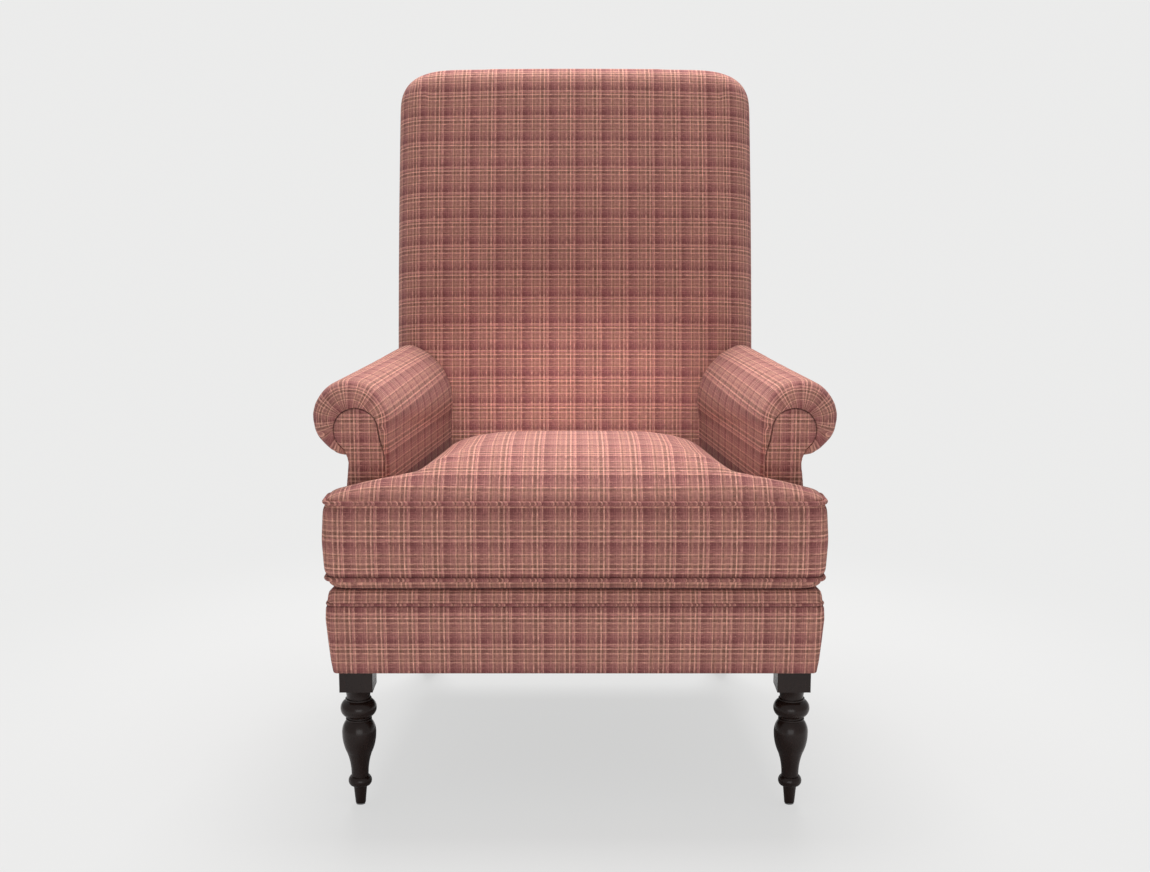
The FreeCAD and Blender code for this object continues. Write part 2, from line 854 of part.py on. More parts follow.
def square(x, y, side):
    half = side / 2
    return [(x - half, y - half), (x + half, y - half), (x + half, y + half), (x - half, y + half)]


foot_x = back_leg_x + size("back_leg_splay")
foot_depth = back_leg_depth + size("back_leg_kick")
back_leg_body = doc.addObject("PartDesign::Body", "BackLegBody")
top_outline = square(back_leg_x, at_depth(back_leg_depth), size("back_leg_top"))
foot_outline = square(foot_x, at_depth(foot_depth), size("back_leg_foot"))
top_sketch = sketch_on(back_leg_body, "BackLegTop", "XY_Plane", base_bottom, top_outline)
foot_sketch = sketch_on(back_leg_body, "BackLegFoot", "XY_Plane", foot_bottom, foot_outline)
sweep_back = back_leg_body.newObject("PartDesign::AdditiveLoft", "BackLegSweep")
sweep_back.Profile = top_sketch
sweep_back.Sections = [foot_sketch]
sweep_back.Ruled = True
glide_bore = glide("BackGlide", foot_x, foot_depth)
back_leg = node("back_leg_right", cut("BackLegRight", back_leg_body, [back_leg_bore, glide_bore]))
node("back_leg_left", mirrored("BackLegLeft", back_leg))
node("leg_glides", group("LegGlides", both_sides("Glides", glides)))

# Seat springs, clips, hessian, deck pad and dust cover

first_bar = front_rail_end - size("spring_inset")
last_bar = back_rail_start + size("spring_inset")
turn_pitch = (last_bar - first_bar) / size("spring_turns")
spring_count = int(size("spring_count").number)


def spring_x(index):
    return (index - (size("spring_count") - 1) / 2) * size("spring_spacing")


def seat_spring():
    # one zigzag: bars across the seat joined by half turns, in one plane
    turn = float(turn_pitch) / 2
    straight = float(size("spring_width")) / 2 - turn
    depth = float(first_bar)
    points = [spot(straight, depth, wire_height)]
    side = 1
    for _ in range(int(size("spring_turns").number)):
        middle = spot(side * (straight + turn), depth + turn, wire_height)
        depth += 2 * turn
        points.append((middle, spot(side * straight, depth, wire_height)))
        side = -side
        points.append(spot(side * straight, depth, wire_height))
    path = Part.Wire(edges_through(points, spot(-straight, first_bar, wire_height)))
    return sweep(path, Vector(1, 0, 0), wire / 2)


one_spring = seat_spring()
springs = []
for index in range(spring_count):
    copy = one_spring.copy()
    copy.translate(Vector(float(spring_x(index)), 0, 0))
    springs.append(copy)
node("seat_springs", feature("SeatSprings", Part.makeCompound(springs)))


def clip(name, x, depth, step):
    # a bent strip on the rail's top that hooks over the end bar
    y = at_depth(depth)
    riser = -wire_room
    roof = clip_sheet + 2 * wire_room
    outline = [
        (-size("clip_tail"), 0),
        (size("clip_nose"), 0),
        (size("clip_nose"), clip_sheet),
        (riser, clip_sheet),
        (riser, roof),
        (size("clip_lip"), roof),
        (size("clip_lip"), roof + clip_sheet),
        (riser - clip_sheet, roof + clip_sheet),
        (riser - clip_sheet, clip_sheet),
        (-size("clip_tail"), clip_sheet),
    ]
    outline = [(y + along * step, rail_top + high) for along, high in outline]
    half = size("clip_width") / 2
    return slab(name, "YZ_Plane", outline, x - half, x + half)


clips = []
for index in range(spring_count):
    clips.append(clip("FrontClip%d" % index, spring_x(index), first_bar, 1))
    clips.append(clip("BackClip%d" % index, spring_x(index), last_bar, -1))
node("spring_clips", group("SpringClips", clips))


def across(half_front, depth_front, half_rear, depth_rear):
    y_front, y_rear = at_depth(depth_front), at_depth(depth_rear)
    return [(-half_front, y_front), (half_front, y_front), (half_rear, y_rear), (-half_rear, y_rear)]


hessian_front = arm_cavity(roll_start) - gap
hessian_plan = across(hessian_front, mid_rail, post_inner - 5 * gap, back_leg_depth)
hessian_top = hessian_bottom + size("hessian_thick")
node("seat_hessian", slab("SeatHessian", "XY_Plane", hessian_plan, hessian_bottom, hessian_top))
deck_front = arm_inner(roll_start) - 2 * gap
deck_rear = arm_inner(back_rail_start) - 2 * gap
deck_plan = across(deck_front, arm_start, deck_front, roll_start)[:3]
deck_plan += across(deck_front, roll_start, deck_rear, back_rail_start)[2:]
deck_plan.append((-deck_front, at_depth(roll_start)))
deck_blank = slab("DeckBlank", "XY_Plane", deck_plan, deck_bottom, deck_top)
foot_front = -size("back_foot_thick") - size("back_crown")
deck_limit = box("DeckLimit", (-far_out, foot_front, -far_out), (far_out, far_out, far_out), leaning=True)
node("deck_pad", cut("DeckPad", deck_blank, [deck_limit]))

dust_start = base_start + size("dust_cover_inset")
dust_end = base_end - size("dust_cover_inset")
dust_front = side_low(dust_start) - size("dust_cover_inset")
dust_rear = side_low(dust_end) - size("dust_cover_inset")
dust_bottom = base_bottom - size("dust_cover_thick")
dust_plan = across(dust_front, dust_start, dust_rear, dust_end)
dust_blank = slab("DustBlank", "XY_Plane", dust_plan, dust_bottom, base_bottom)


def leg_opening(name, x, depth, side, swept):
    half = side / 2 + gap
    y = at_depth(depth)
    return box(name, (x - half, y - half, dust_bottom), (x + half + swept, y + half + swept, base_bottom))


sweep_room = 2 * size("dust_cover_thick") * size("back_leg_kick") / base_bottom
openings = [
    leg_opening("FrontOpening", front_leg_x, front_leg_depth, size("leg_block"), 0),
    leg_opening("BackOpening", back_leg_x, back_leg_depth, size("back_leg_top"), sweep_room),
]
node("dust_cover", cut("DustCover", dust_blank, both_sides("Openings", openings)))

# Covers of the base: front border, its piping and the padded lip above it


def base_plan(inset, end, z):
    # the front half of the base in plan, from rear left round the front to rear right
    corner_radius = max(float(size("base_corner")) - inset, 1.0)
    start = float(base_start) + inset
    front_half, rear_half = float(side_low(start)) - inset, float(side_low(end)) - inset
    corners = [(-front_half, start, corner_radius), (front_half, start, corner_radius)]
    corners += [(rear_half, end, 0), (-rear_half, end, 0)]
    rounded = round_corners(corners, z)
    return rounded[:4] + [spot(rear_half, end, z), spot(-rear_half, end, z)]


tuck, belly = size("base_tuck"), size("base_belly")
border_top = base_seam - size("base_piping") / 2 - gap
border_levels = [(0, tuck), (0.2, tuck * 0.6), (0.45, tuck * 0.27), (0.8, -belly), (1, 0)]
border_wires = []
for share, inset in border_levels:
    border_wires.append(loop(base_plan(float(inset), facing_end, between(base_bottom, border_top, share))))
hollow = Part.Face(loop(base_plan(float(cover), facing_end + cover, base_bottom - cover)))
hollow = hollow.extrude(Vector(0, 0, float(size("base_height") + 2 * cover)))
node("front_border", feature("FrontBorder", loft(border_wires).cut(hollow)))

seam_inset = float(size("base_piping")) / 2
seam_points = base_plan(seam_inset, facing_end, base_seam)
seam_path = Part.Wire(edges_through(seam_points[:5], seam_points[5]))
seam_normal = seam_points[0] - seam_points[5]
node("base_piping", feature("BasePiping", sweep(seam_path, seam_normal, seam_inset)))

lip_inside = cover + 2 * gap
lip_tuck = size("lip_tuck") - seam_inset
lip_rise = deck_top - piping_top
lip_levels = [
    (deck_bottom, lip_inside),
    (piping_top + gap, lip_inside),
    (piping_top + 3 * gap, seam_inset),
    (piping_top + lip_rise * 0.5, seam_inset + lip_tuck * 0.13),
    (piping_top + lip_rise * 0.85, seam_inset + lip_tuck * 0.4),
    (deck_top, seam_inset + lip_tuck),
]
lip_wires = [loop(base_plan(float(inset), arm_start - gap, z)) for z, inset in lip_levels]
node("seat_lip", feature("SeatLip", loft(lip_wires)))

# Arms: facing, stump, pad with its roll, rails, outside panel

arch_x = roll_centre(roll_start) - size("facing_arch_inset")
arch_z = roll_height(roll_start) - size("facing_arch_drop")
facing_inner = arm_inner(roll_start) + size("facing_edge")
facing_hip = arch_z - size("facing_hip_drop")
neck_turns = {"inner": 185, "outer": -55}


def around(radius, turn):
    turn = as_size(turn)
    return arch_x + radius * turn_of("cos", turn), arch_z + radius * turn_of("sin", turn)


def arch(radius):
    # the round head of an arm's front, from its inner side over the top to its outer side
    return [
        around(radius, neck_turns["inner"]),
        around(radius, 90) + around(radius, 135),
        around(radius, 0) + around(radius, 45),
        around(radius, neck_turns["outer"]) + around(radius, neck_turns["outer"] / 2),
    ]


def facing_outline(grow):
    inner = facing_inner - grow
    outer = side_high(roll_start) - size("facing_neck_inset") + grow
    foot = side_low(arm_start) - size("facing_foot_inset") + grow
    neck_z = arch_z - size("facing_neck_drop")
    low = piping_top + gap - grow
    neck = (outer, neck_z, outer + size("facing_flare"), between(neck_z, arch_z, 0.24))
    outline = [(inner, low), (inner, facing_hip)] + arch(size("facing_radius") + grow)
    return outline + [neck, (foot, low)]


stump_inner = arm_cavity(roll_start) + gap
stump_neck_x = side_high(stump_end) - cover - gap
stump_foot_x = side_low(stump_end) - cover - gap
stump_neck_z = roll_height(roll_start) - roll_radius(roll_start) + size("facing_seam")


def stump_outline(grow):
    outline = [(stump_inner - grow, rail_top - grow), (stump_inner - grow, facing_hip)]
    outline += arch(size("stump_radius") + grow)
    return outline + [(stump_neck_x + grow, stump_neck_z), (stump_foot_x + grow, rail_top - grow)]


facing_y = (at_depth(arm_start), at_depth(facing_end))
facing = node("arm_facing_right", slab("ArmFacingRight", "XZ_Plane", facing_outline(0), *facing_y))
node("arm_facing_left", mirrored("ArmFacingLeft", facing))
stump_y = (at_depth(stump_start), at_depth(stump_end))
stump_blank = slab("ArmStumpBlank", "XZ_Plane", stump_outline(0), *stump_y)
stump = node("arm_stump_right", cut("ArmStumpRight", stump_blank, stump_cuts))
node("arm_stump_left", mirrored("ArmStumpLeft", stump))


def arm_roll(depth, share):
    # centre, radius, inner face, hip and outer edge of the roll; the share is how far its front
    # edge has rounded out, 0 at the facing and 1 where the roll runs straight
    seam = float(size("facing_seam"))
    front = (arch_x, arch_z, size("facing_radius") + seam, facing_inner - seam, facing_hip)
    straight = max(depth, float(roll_start))
    full = [kind(straight) for kind in (roll_centre, roll_height, roll_radius, arm_inner, arm_hip)]
    x, z, radius, inner, hip = (between(float(a), float(b), share) for a, b in zip(front, full))
    outer = float(side_high(depth))
    shelf = z - math.sqrt(radius * radius - (outer - x) * (outer - x))
    return x, z, radius, inner, hip, outer, shelf


inner_bend = 150


def arm_section(depth, share):
    x, z, radius, inner, hip, outer, shelf = arm_roll(depth, share)
    cavity = float(arm_cavity(max(depth, float(roll_start))))

    def on_roll(turn):
        turn = math.radians(turn)
        return spot(x + radius * math.cos(turn), depth, z + radius * math.sin(turn))

    last_turn = math.degrees(math.atan2(shelf - z, outer - x))
    return loop([
        spot(cavity, depth, deck_bottom),
        spot(inner, depth, deck_bottom),
        spot(inner, depth, hip),
        (on_roll(inner_bend), on_roll(90)),
        (on_roll(45), on_roll(0)),
        (on_roll(last_turn / 2), spot(outer, depth, shelf)),
        spot(cavity, depth, shelf),
    ])


round_length = float(size("arm_round"))
arm_sections = []
for advance in (0, 0.13, 0.5, 1):
    share = math.sqrt(1 - (1 - advance) ** 2)
    arm_sections.append(arm_section(float(arm_start) + round_length * advance, share))
beyond_rear = float(base_end + size("back_leg_kick"))
arm_sections.append(arm_section(beyond_rear, 1))
grow = float(gap)
arm_pad = loft(arm_sections)
arm_pad = arm_pad.cut(prism(facing_outline(gap), arm_start - cover, stump_start))
arm_pad = arm_pad.cut(prism(stump_outline(gap), facing_end, stump_end + gap))
arm_pad = arm_pad.cut(back_block(grow)).cut(behind(cover + gap))
arm_pad_right = node("arm_pad_right", feature("ArmPadRight", arm_pad))
node("arm_pad_left", mirrored("ArmPadLeft", arm_pad_right))


def shelf_at(depth):
    # underside of the roll, straight between the roll's start and its rear end
    first, last = (arm_roll(place, 1)[-1] for place in (float(roll_start), beyond_rear))
    return line_at(float(depth), float(roll_start), first, beyond_rear, last)


def slanted(start, end, section):
    # a straight ruled piece between two depths; the section gives its (x, z) corners at a depth
    return loft([loop([spot(x, depth, z) for x, z in section(depth)]) for depth in (start, end)])


def panel_section(inner_shift, outer_reach, top_gap):
    def corners(depth):
        low, high = side_low(depth), side_high(depth)
        top = shelf_at(depth) - float(top_gap)
        upper = [(low, base_bottom + cross_thick), (low, base_seam), (high, top)]
        inside = [(x - cover - inner_shift, z) for x, z in [(low, base_bottom)] + upper]
        outside = [(x + outer_reach, z) for x, z in [(low - tuck, base_bottom)] + upper]
        return inside + outside[::-1]

    return corners


def arm_rail_section(low, height, spread):
    # corners of an arm rail at a depth; one with no height of its own hangs under the roll
    def corners(depth):
        inner = arm_cavity(depth) + gap - spread
        outer = inner + size("arm_rail_thick") + 2 * spread
        bottom = (low if low else shelf_at(depth) - gap - height) - spread
        top = bottom + height + 2 * spread
        return [(inner, bottom), (outer, bottom), (outer, top), (inner, top)]

    return corners


outside_arm = slanted(panel_start, beyond_rear, panel_section(0, 0, gap)).cut(behind(cover + gap))
outside_right = node("outside_arm_right", feature("OutsideArmRight", outside_arm))
node("outside_arm_left", mirrored("OutsideArmLeft", outside_right))

post_rear = -(cover + 2 * gap)
post_front = post_rear - size("post_depth")
posts_space = Part.makeBox(2 * far_out, far_out, 3 * far_out, Vector(-far_out, float(post_front), -far_out))
posts_space.Placement = leaning
tack_low = rail_top + size("tack_rail_lift")
arm_rails = {
    "arm_top_rail": (None, size("arm_rail_height")),
    "arm_tack_rail": (tack_low, size("tack_rail_height")),
}
rail_rooms = []
for name, (low, height) in arm_rails.items():
    shape = slanted(stump_end, beyond_rear, arm_rail_section(low, height, 0)).cut(posts_space)
    room = slanted(stump_end, beyond_rear, arm_rail_section(low, height, gap))
    rail_rooms.append(feature(name.title().replace("_", "") + "Room", room))
    right = node(name + "_right", feature(name.title().replace("_", "") + "Right", shape))
    node(name + "_left", mirrored(name.title().replace("_", "") + "Left", right))

# Back: posts, rails, webbing, hessian, pad and outside panel

post_top = back_top - size("back_top_wall") - gap - size("back_rail_height")
post_low, post_high = (post_inner, post_front, -far_out), (post_outer, post_rear, post_top)
post_blank = box("PostBlank", post_low, post_high, leaning=True)
floor_low = (post_inner - cover, at_depth(back_rail_start) - far_out, -far_out)
floor_high = (post_outer + cover, at_depth(base_end) + far_out, rail_top)
post_cuts.append(box("BelowPosts", floor_low, floor_high))
post_step = cut("PostStep", post_blank, post_cuts[1:])
post = node("back_post_right", cut("BackPostRight", post_step, post_cuts[:1]))
node("back_post_left", mirrored("BackPostLeft", post))
rail_low, rail_high = post_top, post_top + size("back_rail_height")
top_rail = ((-post_outer, post_front, rail_low), (post_outer, post_rear, rail_high))
node("back_top_rail", box("BackTopRail", *top_rail, leaning=True))
lower_low = size("back_low_rail")
lower_high = lower_low + size("back_rail_height")
lower_rail = ((-post_inner, post_front, lower_low), (post_inner, post_rear, lower_high))
node("back_lower_rail", box("BackLowerRail", *lower_rail, leaning=True))

webbing_thick = size("webbing_thick")
across_front = post_front - gap - webbing_thick
upright_front = across_front - gap - webbing_thick
hessian_front_y = upright_front - gap - size("hessian_thick")
web_half = size("webbing_width") / 2
webbing = []
for index in range(int(size("webbing_across").number)):
    middle = between(lower_high, rail_low, (index + 0.5) / size("webbing_across"))
    low = (-post_outer, across_front, middle - web_half)
    high = (post_outer, across_front + webbing_thick, middle + web_half)
    webbing.append(box("WebbingAcross%d" % index, low, high, leaning=True))
for index in range(int(size("webbing_upright").number)):
    middle = (index - (size("webbing_upright") - 1) / 2) * size("webbing_spacing")
    low = (middle - web_half, upright_front, lower_low)
    high = (middle + web_half, upright_front + webbing_thick, rail_high)
    webbing.append(box("WebbingUpright%d" % index, low, high, leaning=True))
room_tools = both_sides("RailRooms", rail_rooms)
node("back_webbing", cut("BackWebbing", group("WebbingStrips", webbing), room_tools))
back_cloth_low = (-post_outer, hessian_front_y, lower_low)
back_cloth_high = (post_outer, hessian_front_y + size("hessian_thick"), rail_high)
back_cloth = box("BackCloth", back_cloth_low, back_cloth_high, leaning=True)
node("back_hessian", cut("BackHessian", back_cloth, room_tools))

cavity_half = float(post_outer + gap)
cavity_front = float(hessian_front_y - gap)
cavity_top = float(rail_high + gap)
cavity_low = Vector(-cavity_half, cavity_front, -far_out)
cavity = Part.makeBox(2 * cavity_half, far_out, cavity_top + far_out, cavity_low)
cavity.Placement = leaning
floor_corner = Vector(-far_out, -far_out, float(deck_bottom) - far_out)
floor = Part.makeBox(2 * far_out, 3 * far_out, far_out, floor_corner)
back_pad = back_block(0.0).cut(cavity).cut(floor)
beside_arm = slanted(panel_start, beyond_rear + far_out, panel_section(gap, far_out, 0))
for side in [beside_arm] + [room.Shape for room in rail_rooms]:
    back_pad = back_pad.cut(side).cut(side.mirror(Vector(), Vector(1, 0, 0)))
node("inside_back_pad", feature("InsideBackPad", back_pad))

half_angle = rake / 2
bend_z = kick + cover * turn_of("tan", half_angle)
sine, cosine = turn_of("sin", rake), turn_of("cos", rake)
rear_y = at_depth(base_end)
top_y, top_z = rear_y + back_top * sine, kick + back_top * cosine
side_profile = [
    (rear_y - cover, base_bottom),
    (rear_y, base_bottom),
    (rear_y, kick),
    (top_y, top_z),
    (top_y - cover * cosine, top_z + cover * sine),
    (rear_y - cover, bend_z),
]
half = back_half
low_half = size("base_half_rear")
corner_radius = size("back_corner")
panel_blank = slab("OutsideBackBlank", "YZ_Plane", side_profile, -half, half)
step_z = (as_size(shelf_at(base_end)) - kick) / cosine
corner_in = corner_radius * (1 - math.sqrt(0.5))
straight_half, straight_top = half - corner_radius, back_top - corner_radius
front_outline = [
    (-low_half, -far_out),
    (low_half, -far_out),
    (low_half, step_z),
    (half, step_z),
    (half, straight_top),
    (straight_half, back_top, half - corner_in, back_top - corner_in),
    (-straight_half, back_top),
    (-half, straight_top, corner_in - half, back_top - corner_in),
    (-half, step_z),
    (-low_half, step_z),
]
panel_outline = slab("OutsideBackOutline", "XZ_Plane", front_outline, -far_out / 5, far_out / 5)
tilt(panel_outline, 0, 0, 0)
node("outside_back", common("OutsideBack", panel_blank, panel_outline))

# Seat cushion with its pipings and zip

fullness = 2.5


def cushion_plan(inset, z, rear_inset=None):
    # rounded T outline, drawn in by an amount; the ears die away towards the crown
    flow = inset
    if rear_inset is None:
        rear_inset = inset
    else:
        flow += inset * inset * float(size("ear_fall"))
    half = float(size("base_half_front") + size("cushion_overhang"))
    ear, depth = float(arm_start - size("ear_gap")), float(cushion_depth)
    neck_front, neck_rear = (float(arm_inner(place) - size("cushion_arm_gap")) for place in (ear, depth))
    neck_x = neck_front - inset
    ear_x = max(half - flow, neck_x + 2)
    ear_end = max(ear - inset, inset + 10)
    step = min(0.45 * (ear_x - neck_x), 0.45 * (ear_end - inset))
    front_corner = min(float(size("ear_corner")) + 0.2 * inset, 0.5 * (ear_end - inset))
    rear_corner = min(float(size("ear_rear_corner")), step)
    neck_corner = min(float(size("neck_corner")), step)
    rounded_rear = float(size("cushion_rear_corner"))
    side = [
        (ear_x, inset, front_corner),
        (ear_x, ear_end, rear_corner),
        (neck_x, ear_end, neck_corner),
        (neck_rear - inset, depth - rear_inset, rounded_rear),
    ]
    return round_corners(side + [(-x, y, radius) for x, y, radius in reversed(side)], z)


def swell(inset, run, first):
    # share of the full rise where the cover has drawn in by an amount
    return 1 - (1 - (inset - first) / (run - first)) ** fullness


seam_in = float(size("cushion_piping")) + 2.5 * float(gap)
seam_half = float(size("cushion_piping")) / 2
crown_run, belly_run = float(size("cushion_crown_run")), float(size("cushion_belly_run"))
crown, sag = float(size("cushion_crown")), float(size("cushion_belly"))
low_seam, high_seam = float(cushion_seam), float(cushion_top_seam)
bulge = float(size("cushion_bulge"))
fold = 2 * seam_half - 1
outlines = []
for share in (1, 0.5, 0.2, 0):
    inset = between(seam_half, belly_run, share)
    height = low_seam - fold - (sag - fold) * swell(inset, belly_run, seam_half)
    outlines.append(cushion_plan(inset, height))
outlines += [
    cushion_plan(seam_in, low_seam - 1),
    cushion_plan(seam_in, low_seam + 1),
    cushion_plan(0, low_seam + 2 * seam_half + 1),
    cushion_plan(-bulge, (low_seam + high_seam) / 2),
    cushion_plan(0, high_seam - 2 * seam_half - 1),
    cushion_plan(seam_in, high_seam - 1),
    cushion_plan(seam_in, high_seam + 1),
]
for share in (0, 0.06, 0.16, 0.32, 0.6, 1):
    # the crown rises quickly at the front and the sides, and falls away slowly to the rear
    inset = between(seam_half, crown_run, share)
    rear_inset = between(seam_half, float(size("cushion_rear_run")), 1 - (1 - share) ** 2)
    height = high_seam + fold + (crown - fold) * swell(inset, crown_run, seam_half)
    outlines.append(cushion_plan(inset, height, rear_inset))
cushion = loft([loop(outline) for outline in outlines])

tape_depth = cushion_depth - size("zip_recess")
zip_middle = (cushion_seam + cushion_top_seam) / 2
zip_half, tape_half = size("zip_half_length"), size("zip_tape_height") / 2


def upright_box(x_half, depth, depth_end, z_half):
    low = spot(-x_half, depth, zip_middle - z_half)
    size_y = float(depth_end) - float(depth)
    return Part.makeBox(2 * float(x_half), size_y, 2 * float(z_half), low)


recess = upright_box(zip_half + gap, tape_depth - gap, cushion_depth + cover, tape_half + gap)
node("seat_cushion", feature("SeatCushion", cushion.cut(recess)))
for name, z in (("top", cushion_top_seam), ("bottom", cushion_seam)):
    points = cushion_plan(seam_half, z)
    start = (points[-1][1] + points[0]) * 0.5
    path = Part.Wire(edges_through(points + [start], start))
    piping = sweep(path, points[0] - start, seam_half)
    node("cushion_piping_" + name, feature("CushionPiping" + name.title(), piping))

tape_end = tape_depth + size("zip_tape_thick")
coil_end = tape_end + size("zip_coil_thick")
coil_half = size("zip_coil_height") / 2
tape_low = (-zip_half, at_depth(tape_depth), zip_middle - tape_half)
tape = box("ZipTape", tape_low, (zip_half, at_depth(tape_end), zip_middle + tape_half))
coil_low = (-zip_half, at_depth(tape_end), zip_middle - coil_half)
coil = box("ZipCoil", coil_low, (zip_half, at_depth(coil_end), zip_middle + coil_half))
node("cushion_zip", fuse("CushionZip", [tape, coil]))

slider_wall = size("slider_wall")
slider_x = -zip_half + size("slider_length") / 2
saddle_in = tape_end + gap
saddle_half = coil_half + gap + slider_wall
saddle_end = coil_end + gap + slider_wall
saddle_y = (at_depth(saddle_in), at_depth(coil_end + gap), at_depth(saddle_end))
pull_bottom = zip_middle - saddle_half - size("pull_length")
saddle = [
    (saddle_y[0], zip_middle + saddle_half - slider_wall),
    (saddle_y[0], zip_middle + saddle_half),
    (saddle_y[2], zip_middle + saddle_half),
    (saddle_y[2], zip_middle - saddle_half),
    (saddle_y[0], zip_middle - saddle_half),
    (saddle_y[0], zip_middle - saddle_half + slider_wall),
    (saddle_y[1], zip_middle - saddle_half + slider_wall),
    (saddle_y[1], zip_middle + saddle_half - slider_wall),
]
slider_half = size("slider_length") / 2
saddle_body = slab("SliderSaddle", "YZ_Plane", saddle, slider_x - slider_half, slider_x + slider_half)
pull_low = (slider_x - size("pull_width") / 2, saddle_y[2], pull_bottom)
pull_high = (slider_x + size("pull_width") / 2, saddle_y[2] + slider_wall, zip_middle)
node("zip_slider", fuse("ZipSlider", [saddle_body, box("SliderPull", pull_low, pull_high)]))

# Checks and export

doc.recompute()
faults = [item.Label for item in doc.Objects if "Invalid" in item.State or "Error" in item.State]
for item in nodes:
    shape = item.Shape
    if shape.isNull() or not shape.isValid() or not shape.Solids:
        faults.append(item.Label)
if faults:
    raise RuntimeError("failed objects: " + ", ".join(faults))
os.makedirs("parts", exist_ok=True)
for item in nodes:
    item.Shape.exportStep("parts/%s.step" % item.Label)
print("pieces written:", len(nodes))
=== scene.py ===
import math
import bpy
import numpy as np
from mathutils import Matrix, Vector
from mathutils.bvhtree import BVHTree


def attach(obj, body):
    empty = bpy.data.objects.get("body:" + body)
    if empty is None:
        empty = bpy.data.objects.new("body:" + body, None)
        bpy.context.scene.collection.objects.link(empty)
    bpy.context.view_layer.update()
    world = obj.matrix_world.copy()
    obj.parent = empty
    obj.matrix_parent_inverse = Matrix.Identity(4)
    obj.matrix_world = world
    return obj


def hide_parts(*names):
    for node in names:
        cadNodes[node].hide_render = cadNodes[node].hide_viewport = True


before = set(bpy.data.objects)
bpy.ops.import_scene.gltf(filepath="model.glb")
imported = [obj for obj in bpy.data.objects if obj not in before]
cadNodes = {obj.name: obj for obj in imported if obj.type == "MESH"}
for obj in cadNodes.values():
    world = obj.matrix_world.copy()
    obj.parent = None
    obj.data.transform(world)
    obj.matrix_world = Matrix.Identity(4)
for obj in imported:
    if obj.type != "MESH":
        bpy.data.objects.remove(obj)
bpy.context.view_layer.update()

scene = bpy.context.scene
scene.view_settings.view_transform = "Standard"
print("frame loaded:", len(cadNodes), "nodes")


# camera, lamps and floor

cameraSetup = {
    "place": (0.0, -2.550, 0.897),
    "tilt": 80.7,
    "lens": 50.0,
    "sensor": 36.0,
}
bpy.ops.object.camera_add(location=cameraSetup["place"], rotation=(math.radians(cameraSetup["tilt"]), 0, 0))
camera = bpy.context.object
camera.data.lens = cameraSetup["lens"]
camera.data.sensor_width = cameraSetup["sensor"]
scene.camera = camera

studio = {
    "sky": 0.52,
    "backdrop": 0.835,
    "topPlace": (0.0, 1.25, 3.9),
    "topSize": 2.2,
    "topPower": 205.0,
    "lowPlace": (0.0, -2.3, 0.14),
    "lowSize": 1.4,
    "lowPower": 14.0,
    "cardPlace": (0.0, -1.25, 0.86),
    "cardSize": 0.42,
    "cardHeight": 0.10,
    "cardSpread": 18,
    "cardPower": 0.24,
}


def addSoftbox(name, place, aim, size, power):
    bpy.ops.object.light_add(type="AREA", location=place)
    lamp = bpy.context.object
    lamp.name = name
    lamp.data.shape = "SQUARE"
    lamp.data.size = size
    lamp.data.energy = power
    lamp.rotation_euler = (Vector(aim) - Vector(place)).to_track_quat("-Z", "Y").to_euler()
    return lamp


addSoftbox("topSoftbox", studio["topPlace"], (0, -0.05, 0.4), studio["topSize"], studio["topPower"])
addSoftbox("lowSoftbox", studio["lowPlace"], (0, -0.4, 0.36), studio["lowSize"], studio["lowPower"])

card = addSoftbox("backCard", studio["cardPlace"], (0, 0.2, 0.49), studio["cardSize"], studio["cardPower"])
card.data.shape = "RECTANGLE"
card.data.size_y = studio["cardHeight"]
card.data.spread = math.radians(studio["cardSpread"])
card.visible_camera = False

world = bpy.data.worlds.new("studioWorld")
scene.world = world
world.use_nodes = True
worldNodes, worldLinks = world.node_tree.nodes, world.node_tree.links
worldNodes.clear()
sky = worldNodes.new("ShaderNodeBackground")
sky.inputs["Color"].default_value = (1, 1, 1, 1)
sky.inputs["Strength"].default_value = studio["sky"]
backdrop = worldNodes.new("ShaderNodeBackground")
backdrop.inputs["Color"].default_value = (studio["backdrop"], studio["backdrop"], studio["backdrop"] * 0.995, 1)
rays = worldNodes.new("ShaderNodeLightPath")
choice = worldNodes.new("ShaderNodeMixShader")
worldOut = worldNodes.new("ShaderNodeOutputWorld")
worldLinks.new(rays.outputs["Is Camera Ray"], choice.inputs["Fac"])
worldLinks.new(sky.outputs["Background"], choice.inputs[1])
worldLinks.new(backdrop.outputs["Background"], choice.inputs[2])
worldLinks.new(choice.outputs["Shader"], worldOut.inputs["Surface"])


# materials

def newMaterial(name):
    made = bpy.data.materials.new(name)
    made.use_nodes = True
    tree = made.node_tree
    return made, tree.nodes, tree.links, tree.nodes["Principled BSDF"]


def mathNode(nodes, links, kind, first, second=None, third=None):
    step = nodes.new("ShaderNodeMath")
    step.operation = kind
    for slot, value in enumerate((first, second, third)):
        if value is None:
            continue
        if hasattr(value, "is_linked"):
            links.new(value, step.inputs[slot])
        else:
            step.inputs[slot].default_value = value
    return step.outputs[0]


def mixColour(nodes, links, blend, amount, first, second):
    mix = nodes.new("ShaderNodeMix")
    mix.data_type = "RGBA"
    mix.blend_type = blend
    for slot, value in ((0, amount), (6, first), (7, second)):
        if hasattr(value, "is_linked"):
            links.new(value, mix.inputs[slot])
        else:
            mix.inputs[slot].default_value = value
    return mix.outputs[2]


def greyOf(nodes, links, value):
    grey = nodes.new("ShaderNodeCombineColor")
    for slot in range(3):
        links.new(value, grey.inputs[slot])
    return grey.outputs[0]


